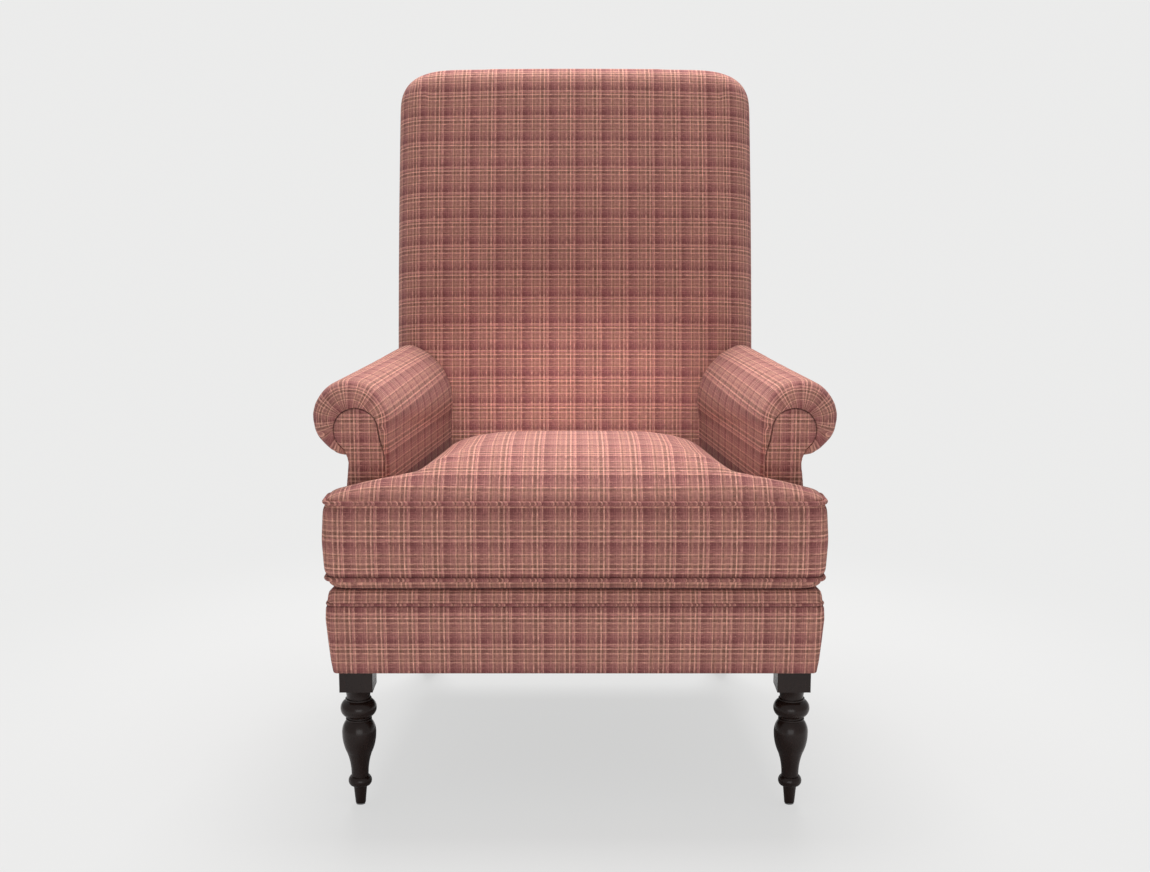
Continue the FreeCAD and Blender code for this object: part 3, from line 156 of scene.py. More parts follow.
def noiseAt(nodes, links, vector, scale, detail=2.0, rough=0.5):
    cloud = nodes.new("ShaderNodeTexNoise")
    cloud.inputs["Scale"].default_value = scale
    cloud.inputs["Detail"].default_value = detail
    cloud.inputs["Roughness"].default_value = rough
    links.new(vector, cloud.inputs["Vector"])
    return cloud.outputs["Fac"]


def stretched(nodes, links, vector, scale):
    mapping = nodes.new("ShaderNodeMapping")
    mapping.inputs["Scale"].default_value = scale
    links.new(vector, mapping.inputs["Vector"])
    return mapping.outputs["Vector"]


plaid = {
    "repeat": 45.8,          # mm of cloth from one bright line to the next
    "edge": 0.25,            # softness of each stripe's edge, mm
    "dyes": {
        "light": (0.82, 0.410, 0.320),
        "fine": (0.70, 0.345, 0.265),
        "sand": (0.455, 0.208, 0.160),
        "pink": (0.508, 0.210, 0.187),
        "dusk": (0.420, 0.172, 0.152),
        "brown": (0.337, 0.145, 0.123),
        "rose": (0.300, 0.116, 0.104),
        "wine": (0.262, 0.094, 0.088),
        "crimson": (0.200, 0.066, 0.064),
        "olive": (0.205, 0.097, 0.071),
    },
    "stripes": [             # start and end in mm
        (0.0, 2.0, "light"), (2.6, 4.4, "olive"), (4.9, 7.0, "pink"), (7.3, 8.7, "fine"), (9.3, 14.0, "crimson"),
        (14.4, 18.1, "wine"), (18.5, 19.5, "dusk"), (19.9, 22.2, "rose"), (22.6, 23.7, "dusk"), (24.0, 24.9, "rose"),
        (25.3, 26.7, "fine"), (27.7, 29.3, "olive"), (29.9, 33.3, "sand"), (33.6, 38.2, "brown"), (38.9, 40.8, "fine"),
        (41.4, 43.4, "olive"),
    ],
    "tickPitch": 2.9,        # fine shading between neighbouring ends
    "tickDepth": 0.12,
    "yarnPitch": 1.25,
    "bump": 0.35,
    "slub": 1.6,
}


def plaidCloth(name, setup):
    # woven check of warp and weft stripes, read from the piece's own "weave" map in metres
    made, nodes, links, shader = newMaterial(name)
    weave = nodes.new("ShaderNodeUVMap")
    weave.uv_map = "weave"
    split = nodes.new("ShaderNodeSeparateXYZ")
    links.new(weave.outputs["UV"], split.inputs[0])
    yarns = []
    waves = []
    for axis, slubScale in ((0, (620, 130, 1)), (1, (130, 620, 1))):
        along = split.outputs[axis]
        phase = mathNode(nodes, links, "FRACT", mathNode(nodes, links, "MULTIPLY", along, 1000 / setup["repeat"]))
        ramp = nodes.new("ShaderNodeValToRGB")
        links.new(phase, ramp.inputs["Fac"])
        stops = []
        for start, end, dye in setup["stripes"]:
            colour = (*setup["dyes"][dye], 1)
            stops.append(((start + setup["edge"]) / setup["repeat"], colour))
            stops.append(((end - setup["edge"]) / setup["repeat"], colour))
        elements = ramp.color_ramp.elements
        elements[0].position, elements[0].color = stops[0]
        elements[1].position, elements[1].color = stops[-1]
        for place, colour in stops[1:-1]:
            elements.new(place).color = colour
        tick = mathNode(nodes, links, "SINE", mathNode(nodes, links, "MULTIPLY", along, 2000 * math.pi / setup["tickPitch"]))
        tick = mathNode(nodes, links, "MULTIPLY_ADD", tick, setup["tickDepth"], 1.0)
        slub = noiseAt(nodes, links, stretched(nodes, links, weave.outputs["UV"], slubScale), 1.0, 2.0, 0.6)
        slubShade = mathNode(nodes, links, "MULTIPLY_ADD", slub, setup["slub"], 1 - setup["slub"] / 2)
        shade = mathNode(nodes, links, "MULTIPLY", tick, slubShade)
        yarns.append((mixColour(nodes, links, "MULTIPLY", 1.0, ramp.outputs["Color"], greyOf(nodes, links, shade)), slub))
        waves.append(mathNode(nodes, links, "SINE", mathNode(nodes, links, "MULTIPLY", along, 2000 * math.pi / setup["yarnPitch"])))
    over = mathNode(nodes, links, "SUBTRACT", yarns[0][1], yarns[1][1])
    over = mathNode(nodes, links, "MULTIPLY_ADD", over, 1.1, 0.5)
    over = mathNode(nodes, links, "MINIMUM", mathNode(nodes, links, "MAXIMUM", over, 0.15), 0.85)
    cloth = mixColour(nodes, links, "MIX", over, yarns[1][0], yarns[0][0])
    spread = noiseAt(nodes, links, weave.outputs["UV"], 16.0, 3.0, 0.55)
    spread = mathNode(nodes, links, "MULTIPLY_ADD", spread, 0.34, 0.83)
    cloth = mixColour(nodes, links, "MULTIPLY", 1.0, cloth, greyOf(nodes, links, spread))
    fleck = noiseAt(nodes, links, weave.outputs["UV"], 520.0, 1.0, 0.5)
    fleck = mathNode(nodes, links, "MULTIPLY", mathNode(nodes, links, "MAXIMUM", mathNode(nodes, links, "SUBTRACT", fleck, 0.66), 0.0), 4.0)
    cloth = mixColour(nodes, links, "MIX", fleck, cloth, (*setup["dyes"]["light"], 1))
    links.new(cloth, shader.inputs["Base Color"])
    height = mathNode(nodes, links, "MULTIPLY", waves[0], waves[1])
    height = mathNode(nodes, links, "ADD", height, mathNode(nodes, links, "ADD", yarns[0][1], yarns[1][1]))
    bump = nodes.new("ShaderNodeBump")
    bump.inputs["Strength"].default_value = setup["bump"]
    bump.inputs["Distance"].default_value = 0.0004
    links.new(height, bump.inputs["Height"])
    links.new(bump.outputs["Normal"], shader.inputs["Normal"])
    shader.inputs["Roughness"].default_value = 0.92
    shader.inputs["Specular IOR Level"].default_value = 0.18
    shader.inputs["Sheen Weight"].default_value = 0.06
    shader.inputs["Sheen Roughness"].default_value = 0.5
    return made


plainSetup = {
    # colour, second colour, grain stretch, grain scale, roughness, metal, coat, bump in metres
    "legWood": ((0.021, 0.0100, 0.0078), (0.009, 0.0045, 0.0036), (1, 1, 0.06), 220, 0.27, 0.0, 0.05, 0.00004),
    "frameBeech": ((0.55, 0.37, 0.22), (0.43, 0.27, 0.15), (1, 0.08, 1), 160, 0.6, 0.0, 0.0, 0.0001),
    "steel": ((0.42, 0.43, 0.44), (0.33, 0.33, 0.34), (1, 1, 1), 300, 0.34, 1.0, 0.0, 0.00002),
    "glideSteel": ((0.55, 0.55, 0.55), (0.40, 0.40, 0.40), (1, 1, 1), 400, 0.3, 1.0, 0.0, 0.00002),
    "hessian": ((0.36, 0.25, 0.14), (0.22, 0.15, 0.08), (1, 1, 1), 900, 0.95, 0.0, 0.0, 0.0003),
    "dustCloth": ((0.022, 0.021, 0.021), (0.010, 0.010, 0.010), (1, 1, 1), 1100, 0.95, 0.0, 0.0, 0.0001),
    "zipTape": ((0.20, 0.075, 0.07), (0.14, 0.05, 0.05), (1, 1, 1), 900, 0.85, 0.0, 0.0, 0.0001),
    "zipBrass": ((0.62, 0.42, 0.17), (0.45, 0.29, 0.11), (1, 1, 1), 300, 0.28, 1.0, 0.0, 0.00002),
    "deckCloth": ((0.30, 0.115, 0.105), (0.24, 0.09, 0.085), (1, 1, 1), 800, 0.93, 0.0, 0.0, 0.0002),
}


def plainFinish(name, setup):
    first, second, stretch, scale, rough, metal, coat, depth = setup
    made, nodes, links, shader = newMaterial(name)
    place = nodes.new("ShaderNodeTexCoord")
    grain = noiseAt(nodes, links, stretched(nodes, links, place.outputs["Object"], stretch), scale, 4.0, 0.6)
    links.new(mixColour(nodes, links, "MIX", grain, (*first, 1), (*second, 1)), shader.inputs["Base Color"])
    worn = noiseAt(nodes, links, place.outputs["Object"], 35.0, 3.0, 0.6)
    links.new(mathNode(nodes, links, "MULTIPLY_ADD", worn, 0.14, rough - 0.07), shader.inputs["Roughness"])
    shader.inputs["Metallic"].default_value = metal
    shader.inputs["Specular IOR Level"].default_value = 0.26
    shader.inputs["Coat Weight"].default_value = coat
    shader.inputs["Coat Roughness"].default_value = 0.12
    bump = nodes.new("ShaderNodeBump")
    bump.inputs["Strength"].default_value = 0.5
    bump.inputs["Distance"].default_value = depth
    links.new(grain, bump.inputs["Height"])
    links.new(bump.outputs["Normal"], shader.inputs["Normal"])
    return made


plaidWool = plaidCloth("plaidWool", plaid)
finishes = {name: plainFinish(name, setup) for name, setup in plainSetup.items()}
print("materials made:", len(finishes) + 1)


def dress(piece, finish):
    if not piece.material_slots:
        piece.data.materials.append(finish)
    for place in piece.material_slots:
        place.material = finish


cadFinishes = {
    "legWood": ["front_leg_left", "front_leg_right", "back_leg_left", "back_leg_right"],
    "frameBeech": ["front_rail", "back_rail", "side_rail_left", "side_rail_right", "corner_blocks", "frame_dowels",
                   "arm_stump_left", "arm_stump_right", "arm_top_rail_left", "arm_top_rail_right",
                   "arm_tack_rail_left", "arm_tack_rail_right", "back_post_left", "back_post_right",
                   "back_top_rail", "back_lower_rail"],
    "steel": ["corner_block_screws", "leg_bolts", "leg_inserts", "seat_springs", "spring_clips"],
    "glideSteel": ["leg_glides"],
    "hessian": ["seat_hessian", "back_hessian", "back_webbing"],
    "zipTape": ["cushion_zip"],
    "zipBrass": ["zip_slider"],
}
for finishName, names in cadFinishes.items():
    for name in names:
        dress(cadNodes[name], finishes[finishName])


# floor

floorSetup = {"colour": 0.60, "nearShadow": 0.75, "farShadow": 1.45, "shadowLight": 0.72}
bpy.ops.mesh.primitive_plane_add(size=14, location=(0, 2.5, 0))
floor = bpy.context.object
floor.name = "floor"
floorPaint, nodes, links, shader = newMaterial("floorPaint")
grey = floorSetup["colour"]
shader.inputs["Base Color"].default_value = (grey, grey, grey * 0.995, 1)
shader.inputs["Roughness"].default_value = 0.9
shader.inputs["Specular IOR Level"].default_value = 0.1
place = nodes.new("ShaderNodeTexCoord")
centred = nodes.new("ShaderNodeMapping")
centred.inputs["Location"].default_value = (0, 2.5, 0)
links.new(place.outputs["Object"], centred.inputs["Vector"])
reach = nodes.new("ShaderNodeVectorMath")
reach.operation = "LENGTH"
links.new(centred.outputs["Vector"], reach.inputs[0])
fade = nodes.new("ShaderNodeMapRange")
fade.interpolation_type = "SMOOTHSTEP"
fade.inputs["From Min"].default_value = floorSetup["nearShadow"]
fade.inputs["From Max"].default_value = floorSetup["farShadow"]
fade.inputs["To Min"].default_value = floorSetup["shadowLight"]
links.new(reach.outputs["Value"], fade.inputs["Value"])
rays = nodes.new("ShaderNodeLightPath")
share = mathNode(nodes, links, "MULTIPLY", fade.outputs["Result"], rays.outputs["Is Camera Ray"])
glow = nodes.new("ShaderNodeEmission")
glow.inputs["Color"].default_value = (studio["backdrop"], studio["backdrop"], studio["backdrop"] * 0.995, 1)
choice = nodes.new("ShaderNodeMixShader")
links.new(share, choice.inputs["Fac"])
links.new(shader.outputs["BSDF"], choice.inputs[1])
links.new(glow.outputs["Emission"], choice.inputs[2])
links.new(choice.outputs["Shader"], nodes["Material Output"].inputs["Surface"])
floor.data.materials.append(floorPaint)
print("studio ready")


# ways of working that the soft pieces share

def choose(piece):
    bpy.ops.object.select_all(action="DESELECT")
    piece.select_set(True)
    bpy.context.view_layer.objects.active = piece


def blankOf(node, name):
    # a fresh copy of the node's solid, its loose triangles joined
    piece = bpy.data.objects.new(name, cadNodes[node].data.copy())
    scene.collection.objects.link(piece)
    choose(piece)
    bpy.ops.mesh.customdata_custom_splitnormals_clear()
    bpy.ops.object.mode_set(mode="EDIT")
    bpy.ops.mesh.select_all(action="SELECT")
    bpy.ops.mesh.remove_doubles(threshold=0.00002)
    bpy.ops.mesh.normals_make_consistent(inside=False)
    bpy.ops.object.mode_set(mode="OBJECT")
    piece.data.materials.clear()
    return piece


def applyModifier(piece, kind, **values):
    choose(piece)
    step = piece.modifiers.new(kind.title(), kind)
    for key, value in values.items():
        setattr(step, key, value)
    bpy.ops.object.modifier_apply(modifier=step.name)


def pointsOf(piece):
    flat = np.empty(len(piece.data.vertices) * 3, np.float32)
    piece.data.vertices.foreach_get("co", flat)
    return flat.reshape(-1, 3).astype(float)


def normalsOf(piece):
    flat = np.empty(len(piece.data.vertices) * 3, np.float32)
    piece.data.vertices.foreach_get("normal", flat)
    return flat.reshape(-1, 3).astype(float)


def putPoints(piece, points):
    piece.data.vertices.foreach_set("co", points.astype(np.float32).ravel())
    piece.data.update()


def clothBlank(node, name, cell, slimmer, rounds):
    # even fabric skin laid on the solid, or a little slimmer than it
    piece = blankOf(node, name)
    solid = BVHTree.FromPolygons([v.co.copy() for v in piece.data.vertices], [tuple(f.vertices) for f in piece.data.polygons])
    applyModifier(piece, "REMESH", mode="VOXEL", voxel_size=cell, use_smooth_shade=True)
    applyModifier(piece, "SMOOTH", factor=0.5, iterations=rounds)
    points = pointsOf(piece)
    for index, point in enumerate(points):
        points[index] = solid.find_nearest(Vector(point))[0]
    putPoints(piece, points)
    applyModifier(piece, "SMOOTH", factor=0.3, iterations=1)
    if slimmer:
        points, normals = pointsOf(piece), normalsOf(piece)
        putPoints(piece, points - normals * slimmer)
    return piece, solid


def plump(piece, pressure, cap, held, calm):
    # air pressure fills the cover, which is held along its seams; no point moves further than the cap
    before, outward = pointsOf(piece), normalsOf(piece)
    grip = piece.vertex_groups.new(name="held")
    grip.add([int(i) for i in np.nonzero(held)[0]], 1.0, "ADD")
    choose(piece)
    step = piece.modifiers.new("Cloth", "CLOTH")
    step.settings.vertex_group_mass = "held"
    step.settings.quality = 4
    step.settings.mass = 0.3
    step.settings.use_pressure = True
    step.settings.uniform_pressure_force = pressure
    step.settings.effector_weights.gravity = 0
    step.collision_settings.use_collision = False
    for moment in range(1, 21):
        scene.frame_set(moment)
    bpy.ops.object.modifier_apply(modifier=step.name)
    scene.frame_set(1)
    moves = pointsOf(piece) - before
    straight = (moves * outward).sum(axis=1, keepdims=True) * outward
    moves = moves * (1 - calm) + straight * calm
    lengths = np.linalg.norm(moves, axis=1, keepdims=True)
    putPoints(piece, before + moves * np.minimum(1.0, cap / np.maximum(lengths, 1e-9)))
    piece.vertex_groups.clear()
    if calm:
        applyModifier(piece, "SMOOTH", factor=0.5, iterations=round(10 * calm))
    print(piece.name, "filled, furthest move", round(float(lengths.max()), 4))


def keepWithin(piece, solid, proud):
    # no point stands further out of the solid than its own allowance
    points = pointsOf(piece)
    for index, point in enumerate(points):
        near, normal, face, distance = solid.find_nearest(Vector(point))
        if normal is None:
            continue
        outside = (Vector(point) - near).dot(normal)
        if outside > proud[index]:
            points[index] = near + normal * proud[index]
    putPoints(piece, points)


def writeWeave(piece, rule):
    # the cloth's own map: metres along the weft and the warp at each corner of each face
    mesh = piece.data
    layer = mesh.uv_layers.new(name="weave")
    corners = np.empty(len(mesh.loops), np.int32)
    mesh.loops.foreach_get("vertex_index", corners)
    totals = np.empty(len(mesh.polygons), np.int32)
    mesh.polygons.foreach_get("loop_total", totals)
    centres = np.empty(len(mesh.polygons) * 3, np.float32)
    mesh.polygons.foreach_get("center", centres)
    facing = np.empty(len(mesh.polygons) * 3, np.float32)
    mesh.polygons.foreach_get("normal", facing)
    points = pointsOf(piece)[corners]
    centres = np.repeat(centres.reshape(-1, 3), totals, axis=0)
    facing = np.repeat(facing.reshape(-1, 3), totals, axis=0)
    across, along = rule(points, centres, facing)
    layer.data.foreach_set("uv", np.column_stack((across, along)).astype(np.float32).ravel())
    layer.active_render = True


def finishCloth(piece, nodes, body, rule, levels=0):
    choose(piece)
    bpy.ops.object.shade_smooth()
    writeWeave(piece, rule)
    if levels:
        applyModifier(piece, "SUBSURF", levels=levels, render_levels=levels)
    dress(piece, plaidWool)
    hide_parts(*nodes)
    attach(piece, body)
    print("made", piece.name, len(piece.data.polygons))


lineMiddle = plaid["stripes"][0][1] / 2000


def columnsAt(x, bright, pitch):
    return (x - bright) * plaid["repeat"] / 1000 / pitch + lineMiddle


# seat cushion

cushionSetup = {
    "cell": 0.006,
    "slimmer": 0.001,
    "pressure": 4.0,
    "cap": 0.007,
    "proud": 0.0018,
    "seamProud": 0.0040,
    "seamFull": 0.0015,
    "bright": -0.0061,
    "pitch": 0.0458,
    "rowBright": 0.4059,
    "rowPitch": 0.0466,
    "topSeam": 0.4505,
    "bottomSeam": 0.3425,
    "front": -0.4045,
    "crownRun": 0.12,
    "crownStretch": 1.09,
}


def cushionWeave(points, centres, facing):
    setup = cushionSetup
    x, y, z = points.T
    side = np.abs(facing[:, 0]) > np.abs(facing[:, 1])
    boxing = (centres[:, 2] < setup["topSeam"]) & (centres[:, 2] > setup["bottomSeam"]) & (np.abs(facing[:, 2]) < 0.75)
    reach = y - setup["front"]
    slope = setup["crownStretch"] - 1
    reach = reach + slope * np.minimum(reach, setup["crownRun"])
    edge = 0.3503 - setup["crownRun"]
    wide = x + np.sign(x) * slope * np.maximum(np.abs(x) - edge, 0)
    up = np.where(centres[:, 2] > 0.41, setup["topSeam"] + 0.002 + reach, setup["bottomSeam"] - reach)
    across = np.where(boxing, np.where(side, y, x), wide)
    rows = np.where(boxing, z, up)
    return columnsAt(across, setup["bright"], setup["pitch"]), -columnsAt(rows, setup["rowBright"], setup["rowPitch"]) + 2 * lineMiddle


cushion, cushionSolid = clothBlank("seat_cushion", "seatCushionCover", cushionSetup["cell"], cushionSetup["slimmer"], 3)
points, normals = pointsOf(cushion), normalsOf(cushion)
x, y, z = points.T
flat = normals * (1, 1, 0)
flat /= np.maximum(np.linalg.norm(flat, axis=1, keepdims=True), 0.3)
openFront = np.clip((-0.333 - y) / 0.012, 0, 1)
beside = np.exp(-((z - cushionSetup["topSeam"] - 0.006) / 0.005) ** 2)
under = np.exp(-((z - cushionSetup["bottomSeam"] + 0.005) / 0.004) ** 2) * 0.6
points += flat * (cushionSetup["seamFull"] * openFront * (beside + under))[:, None]
putPoints(cushion, points)
softly = cushion.vertex_groups.new(name="softly")
softly.add([int(i) for i in np.nonzero((np.abs(x) > 0.12) & (y > -0.372) & (y < 0.05) & (z > 0.462))[0]], 1.0, "ADD")
applyModifier(cushion, "SMOOTH", factor=0.5, iterations=12, vertex_group="softly")
cushion.vertex_groups.clear()
x, y, z = pointsOf(cushion).T
seams = (np.abs(z - cushionSetup["bottomSeam"]) < 0.006) | (np.abs(z - cushionSetup["topSeam"]) < 0.006) | (y > 0.06)
beside = (np.abs(x) > 0.20) & (y > -0.345)
plump(cushion, cushionSetup["pressure"], cushionSetup["cap"], seams | beside, 0.3)
x, y, z = pointsOf(cushion).T
above = np.clip((z - cushionSetup["topSeam"] - 0.002) / 0.006, 0, 1) * np.clip((cushionSetup["topSeam"] + 0.024 - z) / 0.012, 0, 1)
openFront = np.clip((-0.333 - y) / 0.012, 0, 1)
openTop = np.clip((z - 0.47) / 0.01, 0, 1) * np.clip((0.18 - np.abs(x)) / 0.03, 0, 1) * np.clip((0.04 - y) / 0.03, 0, 1)
proud = cushionSetup["proud"] + (cushionSetup["seamProud"] - cushionSetup["proud"]) * above
keepWithin(cushion, cushionSolid, np.maximum(openFront * proud, openTop * cushionSetup["proud"]) * (z > 0.347) - 0.0002)
finishCloth(cushion, ["seat_cushion"], "seat_cushion", cushionWeave, levels=1)


# pipings: a covered cord with small puckers, and a nib where it turns the cushion's front corners

pipingSetup = {"cell": 0.0015, "pucker": 0.00012, "puckerPitch": 0.009, "nib": 0.0010, "nibReach": 0.012}


def pipeWeave(points, centres, facing):
    x, y, z = points.T
    return columnsAt(x + y + 0.404, cushionSetup["bright"], cushionSetup["pitch"]), 0.0162 + (z - z.mean()) * 0.6


def pipe(node, name, body, nibs):
    piece, solid = clothBlank(node, name, pipingSetup["cell"], 0.0, 2)
    points, normals = pointsOf(piece), normalsOf(piece)
    way = (points[:, 0] + points[:, 1]) / pipingSetup["puckerPitch"] * 2 * math.pi
    points = points + normals * (np.sin(way) * pipingSetup["pucker"])[:, None]
    for sign in (-1, 1) if nibs else ():
        corner = np.array((sign * 0.3455, -0.397, 0))
        away = (points - corner)[:, :2]
        near = np.clip(1 - np.linalg.norm(away, axis=1) / pipingSetup["nibReach"], 0, 1) ** 2
        points[:, 0] += sign * pipingSetup["nib"] * near
        points[:, 1] -= pipingSetup["nib"] * near
    putPoints(piece, points)
    finishCloth(piece, [node], body, pipeWeave)
    return piece


pipe("cushion_piping_top", "cushionPipingTop", "seat_cushion", True)
pipe("cushion_piping_bottom", "cushionPipingBottom", "seat_cushion", True)
pipe("base_piping", "basePiping", "chair", False)


# seat base: front border, padded lip, outside arms

baseSetup = {
    "cell": 0.0032,
    "bright": -0.0076,
    "pitch": 0.0438,
    "rowBright": 0.2872,
    "rowPitch": 0.0453,
    "lipSeam": 0.3175,
    "lipPush": 0.0035,
    "lipDrop": 0.0015,
}


def borderWeave(points, centres, facing):
    x, y, z = points.T
    side = np.abs(facing[:, 0]) > 0.75
    across = np.where(side, np.sign(x) * (0.3495 + y + 0.398), x)
    return columnsAt(across, baseSetup["bright"], baseSetup["pitch"]), columnsAt(z, baseSetup["rowBright"], baseSetup["rowPitch"])


def lipWeave(points, centres, facing):
    x, y, z = points.T
    rise = z + np.maximum(y + 0.398, 0)
    return columnsAt(x, baseSetup["bright"], baseSetup["pitch"]), columnsAt(rise, baseSetup["rowBright"], baseSetup["rowPitch"])


def sideWeave(points, centres, facing):
    x, y, z = points.T
    return columnsAt(y, 0.01, plaid["repeat"] / 1000), columnsAt(z, baseSetup["rowBright"], baseSetup["rowPitch"])


border, borderSolid = clothBlank("front_border", "frontBorderCover", baseSetup["cell"], 0.0, 3)
keepWithin(border, borderSolid, np.full(len(border.data.vertices), 0.0))
finishCloth(border, ["front_border"], "chair", borderWeave)
lip, lipSolid = clothBlank("seat_lip", "seatLipCover", 0.0022, 0.0, 2)
keepWithin(lip, lipSolid, np.full(len(lip.data.vertices), 0.0))
points = pointsOf(lip)
low = np.clip((baseSetup["lipSeam"] - points[:, 2]) / 0.010, 0, 1) * (points[:, 1] < -0.37)  # closes the lip down on its piping
points[:, 1] -= baseSetup["lipPush"] * low
points[:, 2] -= baseSetup["lipDrop"] * low
putPoints(lip, points)
finishCloth(lip, ["seat_lip"], "chair", lipWeave)
for hand in ("left", "right"):
    panel, panelSolid = clothBlank("outside_arm_" + hand, "outsideArmCover" + hand.title(), 0.005, 0.0, 3)
    keepWithin(panel, panelSolid, np.full(len(panel.data.vertices), 0.0))
    finishCloth(panel, ["outside_arm_" + hand], "chair", sideWeave)


# deck under the cushion

deck, deckSolid = clothBlank("deck_pad", "deckCover", 0.006, 0.0, 2)
keepWithin(deck, deckSolid, np.full(len(deck.data.vertices), 0.0))
finishCloth(deck, ["deck_pad"], "chair", lipWeave)
dress(deck, finishes["deckCloth"])


# back

backSetup = {
    "cell": 0.007,
    "slimmer": 0.0,
    "pressure": 4.0,
    "cap": 0.003,
    "proud": 0.0025,
    "rake": math.radians(12.5),
    "hinge": (0.234, 0.300),
    "bright": -0.0075,
    "pitch": 0.0450,
    "rowBright": 0.5831,
    "rowPitch": 0.0449,
    "cornerSide": 0.2535,
    "cornerTop": 0.739,
}


def backFrame(points):
    # height up the leaning back, and depth behind its padded front
    y, z = points[:, 1] - backSetup["hinge"][0], points[:, 2] - backSetup["hinge"][1]
    sine, cosine = math.sin(backSetup["rake"]), math.cos(backSetup["rake"])
    height = y * sine + z * cosine
    depth = y * cosine - z * sine
    foot, belly, head = 0.1246, 0.1609, 0.1454
    middle, top = 0.425, 0.7296
    thick = foot * (height - middle) * (height - top) / (middle * top)
    thick += belly * height * (height - top) / (middle * (middle - top))
    thick += head * height * (height - middle) / (top * (top - middle))
    return height, depth + thick


def wrapped(behind, corner):
    # cloth length round a corner whose rounding goes back as far as it goes in
    return np.where(behind < corner, behind * 0.56, corner * 0.56 + behind - corner)


def backWeave(points, centres, facing):
    setup = backSetup
    x = points[:, 0]
    height, behind = backFrame(points)
    behind = np.maximum(behind, 0)
    outward = np.maximum(np.abs(x) - setup["cornerSide"], 0)  # how far round the top corner, from its top to its side
    upward = np.maximum(height - setup["cornerTop"], 0) + 0.001
    sideways = np.arctan2(outward, upward) / (math.pi / 2)
    across = x + np.sign(x) * wrapped(behind, 0.052) * sideways
    rows = height + wrapped(behind, 0.045) * (1 - sideways) * np.clip((height - 0.69) / 0.02, 0, 1)
    return columnsAt(across, setup["bright"], setup["pitch"]), columnsAt(rows, setup["rowBright"], setup["rowPitch"])


def rearWeave(points, centres, facing):
    setup = backSetup
    height, behind = backFrame(points)
    return columnsAt(points[:, 0], setup["bright"], setup["pitch"]), columnsAt(height, setup["rowBright"], setup["rowPitch"])


back, backSolid = clothBlank("inside_back_pad", "insideBackCover", backSetup["cell"], backSetup["slimmer"], 3)
height, behind = backFrame(pointsOf(back))
plump(back, backSetup["pressure"], backSetup["cap"], (behind > 0.02) | (height < 0.03) | (height > 0.62), 1.0)
points = pointsOf(back)
height, behind = backFrame(points)
clear = (points[:, 2] > 0.66) & (behind < 0.10) | (points[:, 2] > 0.54) & (np.abs(points[:, 0]) < 0.17) & (behind < 0.02)
keepWithin(back, backSolid, np.where(clear, backSetup["proud"], -0.0002))
finishCloth(back, ["inside_back_pad"], "chair", backWeave, levels=1)

rear, rearSolid = clothBlank("outside_back", "outsideBackCover", 0.0055, 0.0, 3)
keepWithin(rear, rearSolid, np.full(len(rear.data.vertices), 0.0))
finishCloth(rear, ["outside_back"], "chair", rearWeave)


# arms: scroll roll, inside arm, and the flat facing set into each front

armSetup = {
    "cell": 0.005,
    "slimmer": 0.0,
    "pressure": 3.0,
    "cap": 0.003,
    "proud": 0.0020,
    "rollStart": 0.108,
    "baseEnd": 0.636,
    "outer": (0.323, 0.298),
    "inset": (0.002, 0.031),
    "radius": (0.055, 0.044),
    "top": (0.6095, 0.613),
    "width": (0.059, 0.103),
    "hipDrop": (0.014, 0.089),
    "alongBright": -0.319,
    "roundBright": 0.604,
    "creases": (-42, 14, 68, 117, 159, 198, 240),
    "creaseDepth": 0.0012,
    "creaseHalf": 0.0030,
    "facetSag": 0.0022,
}


def armPlaces(y):
    share = np.clip((y + 0.402 - armSetup["rollStart"]) / (armSetup["baseEnd"] - armSetup["rollStart"]), 0, 1)

    def between(key):
        front, rear = armSetup[key]
        return front + (rear - front) * share

    outer = between("outer")
    middle = outer - between("inset")
    radius = between("radius")
    height = between("top") - radius
    inner = outer - between("width")
    return middle, height, radius, inner, height - between("hipDrop")


def armWeave(points, centres, facing):
    x, y, z = np.abs(points[:, 0]), points[:, 1], points[:, 2]
    middle, height, radius, inner, hip = armPlaces(y)
    wide, tall = middle - inner, height + radius - hip
    angle = np.arctan2(z - height, x - middle)
    quarter = math.pi / 2 * np.sqrt((wide ** 2 + tall ** 2) / 2)
    swing = np.arctan2((z - hip) / tall, (middle - x) / wide)
    inside = np.where(z < hip, z, hip + quarter * np.clip(swing, 0, math.pi / 2) / (math.pi / 2))
    over = hip + quarter + radius * (math.pi / 2 - angle)
    rows = np.where((x < middle) & (angle > math.pi / 2) | (angle < -math.pi / 2), inside, over)
    away = np.hypot(x - middle, z - height)
    inward = np.where(z > hip, radius - away, x - inner)
    depth = y + 0.402
    along = y - np.where(depth < armSetup["rollStart"] + 0.004, np.maximum(inward, 0), 0)
    return columnsAt(along, armSetup["alongBright"], 0.0458), -columnsAt(rows, armSetup["roundBright"], 0.0458) + 2 * lineMiddle


def creaseFront(piece):
    # mitred folds with flat stretches between them where the cloth turns over the roll's front edge
    points, normals = pointsOf(piece), normalsOf(piece)
    x, y, z = np.abs(points[:, 0]), points[:, 1], points[:, 2]
    middle, height, radius, inner, hip = armPlaces(y)
    angle = np.degrees(np.arctan2(z - height + 0.006, middle - x))
    away = np.hypot(x - middle, z - height)
    fade = np.clip((-0.282 - y) / 0.02, 0, 1) * (away > 0.033)
    sink = np.zeros(len(points))
    creases = armSetup["creases"]
    angle = (angle - creases[0]) % 360 + creases[0]
    for first, last in zip(creases, creases[1:]):
        share = np.clip((angle - first) / (last - first), 0, 1)
        sink += 4 * share * (1 - share) * armSetup["facetSag"]
    for crease in creases:
        apart = np.radians((angle - crease + 180) % 360 - 180) * away
        sink += np.exp(-(apart / armSetup["creaseHalf"]) ** 2) * armSetup["creaseDepth"]
    putPoints(piece, points - normals * (sink * fade)[:, None])


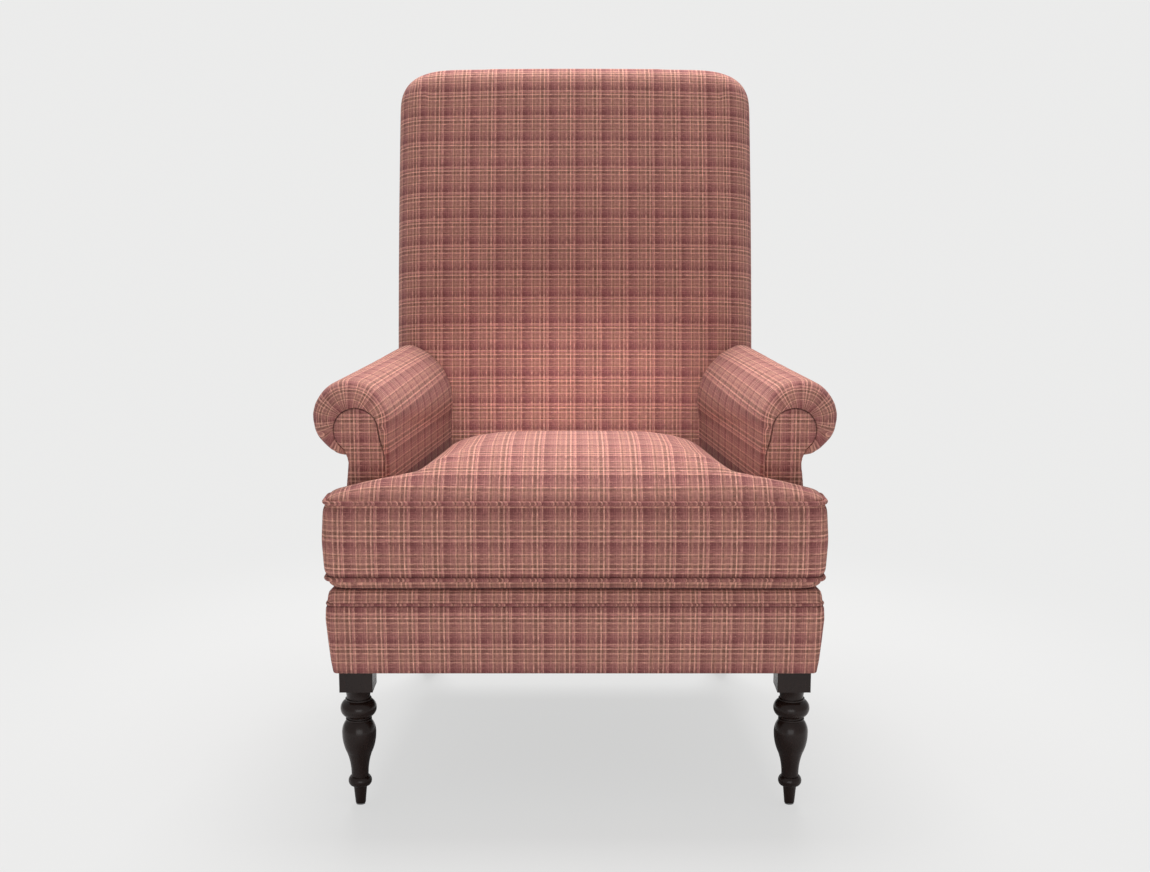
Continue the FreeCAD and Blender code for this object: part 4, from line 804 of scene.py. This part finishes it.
def drawTo(piece, facing):
    # the rim's cloth lies close to the facing set into it
    points = pointsOf(piece)
    for index in np.nonzero((points[:, 1] < -0.298) & (points[:, 2] > 0.31))[0]:
        near, normal, face, distance = facing.find_nearest(Vector(points[index]))
        if normal is not None and abs(normal.y) < 0.5 and 0.0008 < distance < 0.007:
            points[index] += (np.array(near) - points[index]) * (1 - 0.0008 / distance) * 0.75
    putPoints(piece, points)


facingSetup = {"cell": 0.0024, "bright": 0.3130, "pitch": 0.0390, "rowBright": 0.5554, "rowPitch": 0.0415}


def facingWeave(points, centres, facing):
    x, y, z = points.T
    return columnsAt(-np.abs(x), -facingSetup["bright"], facingSetup["pitch"]), columnsAt(z, facingSetup["rowBright"], facingSetup["rowPitch"])


for hand in ("left", "right"):
    panel, facingSolid = clothBlank("arm_facing_" + hand, "armFacing" + hand.title(), facingSetup["cell"], 0.0, 2)
    keepWithin(panel, facingSolid, np.full(len(panel.data.vertices), 0.0))
    finishCloth(panel, ["arm_facing_" + hand], "chair", facingWeave)
    arm, armSolid = clothBlank("arm_pad_" + hand, "armCover" + hand.title(), armSetup["cell"], armSetup["slimmer"], 2)
    points, normals = pointsOf(arm), normalsOf(arm)
    x, y, z = np.abs(points[:, 0]), points[:, 1], points[:, 2]
    middle, height, radius, inner, hip = armPlaces(y)
    rim = np.hypot(x - middle, z - height) > radius - 0.008
    free = (z > hip) & rim & (y < 0.18) & (y > -0.31) & (z > height - 0.03)
    plump(arm, armSetup["pressure"], armSetup["cap"], ~free, 0.5)
    creaseFront(arm)
    drawTo(arm, facingSolid)
    points = pointsOf(arm)
    x, y, z = np.abs(points[:, 0]), points[:, 1], points[:, 2]
    clear = (z > 0.57) & (y < 0.10)
    keepWithin(arm, armSolid, np.where(clear, armSetup["proud"], -0.0002))
    finishCloth(arm, ["arm_pad_" + hand], "chair", armWeave, levels=1)


# dust cover under the seat, drawn tight and stapled

dustSetup = {"sag": 0.003, "step": 0.03}
dust = blankOf("dust_cover", "dustCoverCloth")
choose(dust)
bpy.ops.object.mode_set(mode="EDIT")
for axis, low, high in ((0, -0.318, 0.318), (1, -0.377, 0.214)):
    place = low + dustSetup["step"]
    while place < high:
        spot, normal = [0, 0, 0], [0, 0, 0]
        spot[axis], normal[axis] = place, 1
        bpy.ops.mesh.select_all(action="SELECT")
        bpy.ops.mesh.bisect(plane_co=spot, plane_no=normal)
        place += dustSetup["step"]
bpy.ops.object.mode_set(mode="OBJECT")
points = pointsOf(dust)
bow = np.clip(1 - (points[:, 0] / 0.25) ** 2, 0, 1) * np.clip(1 - ((points[:, 1] + 0.082) / 0.25) ** 2, 0, 1)
points[:, 2] -= dustSetup["sag"] * bow
putPoints(dust, points)
dress(dust, finishes["dustCloth"])
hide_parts("dust_cover")
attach(dust, "chair")
print("made", dust.name)
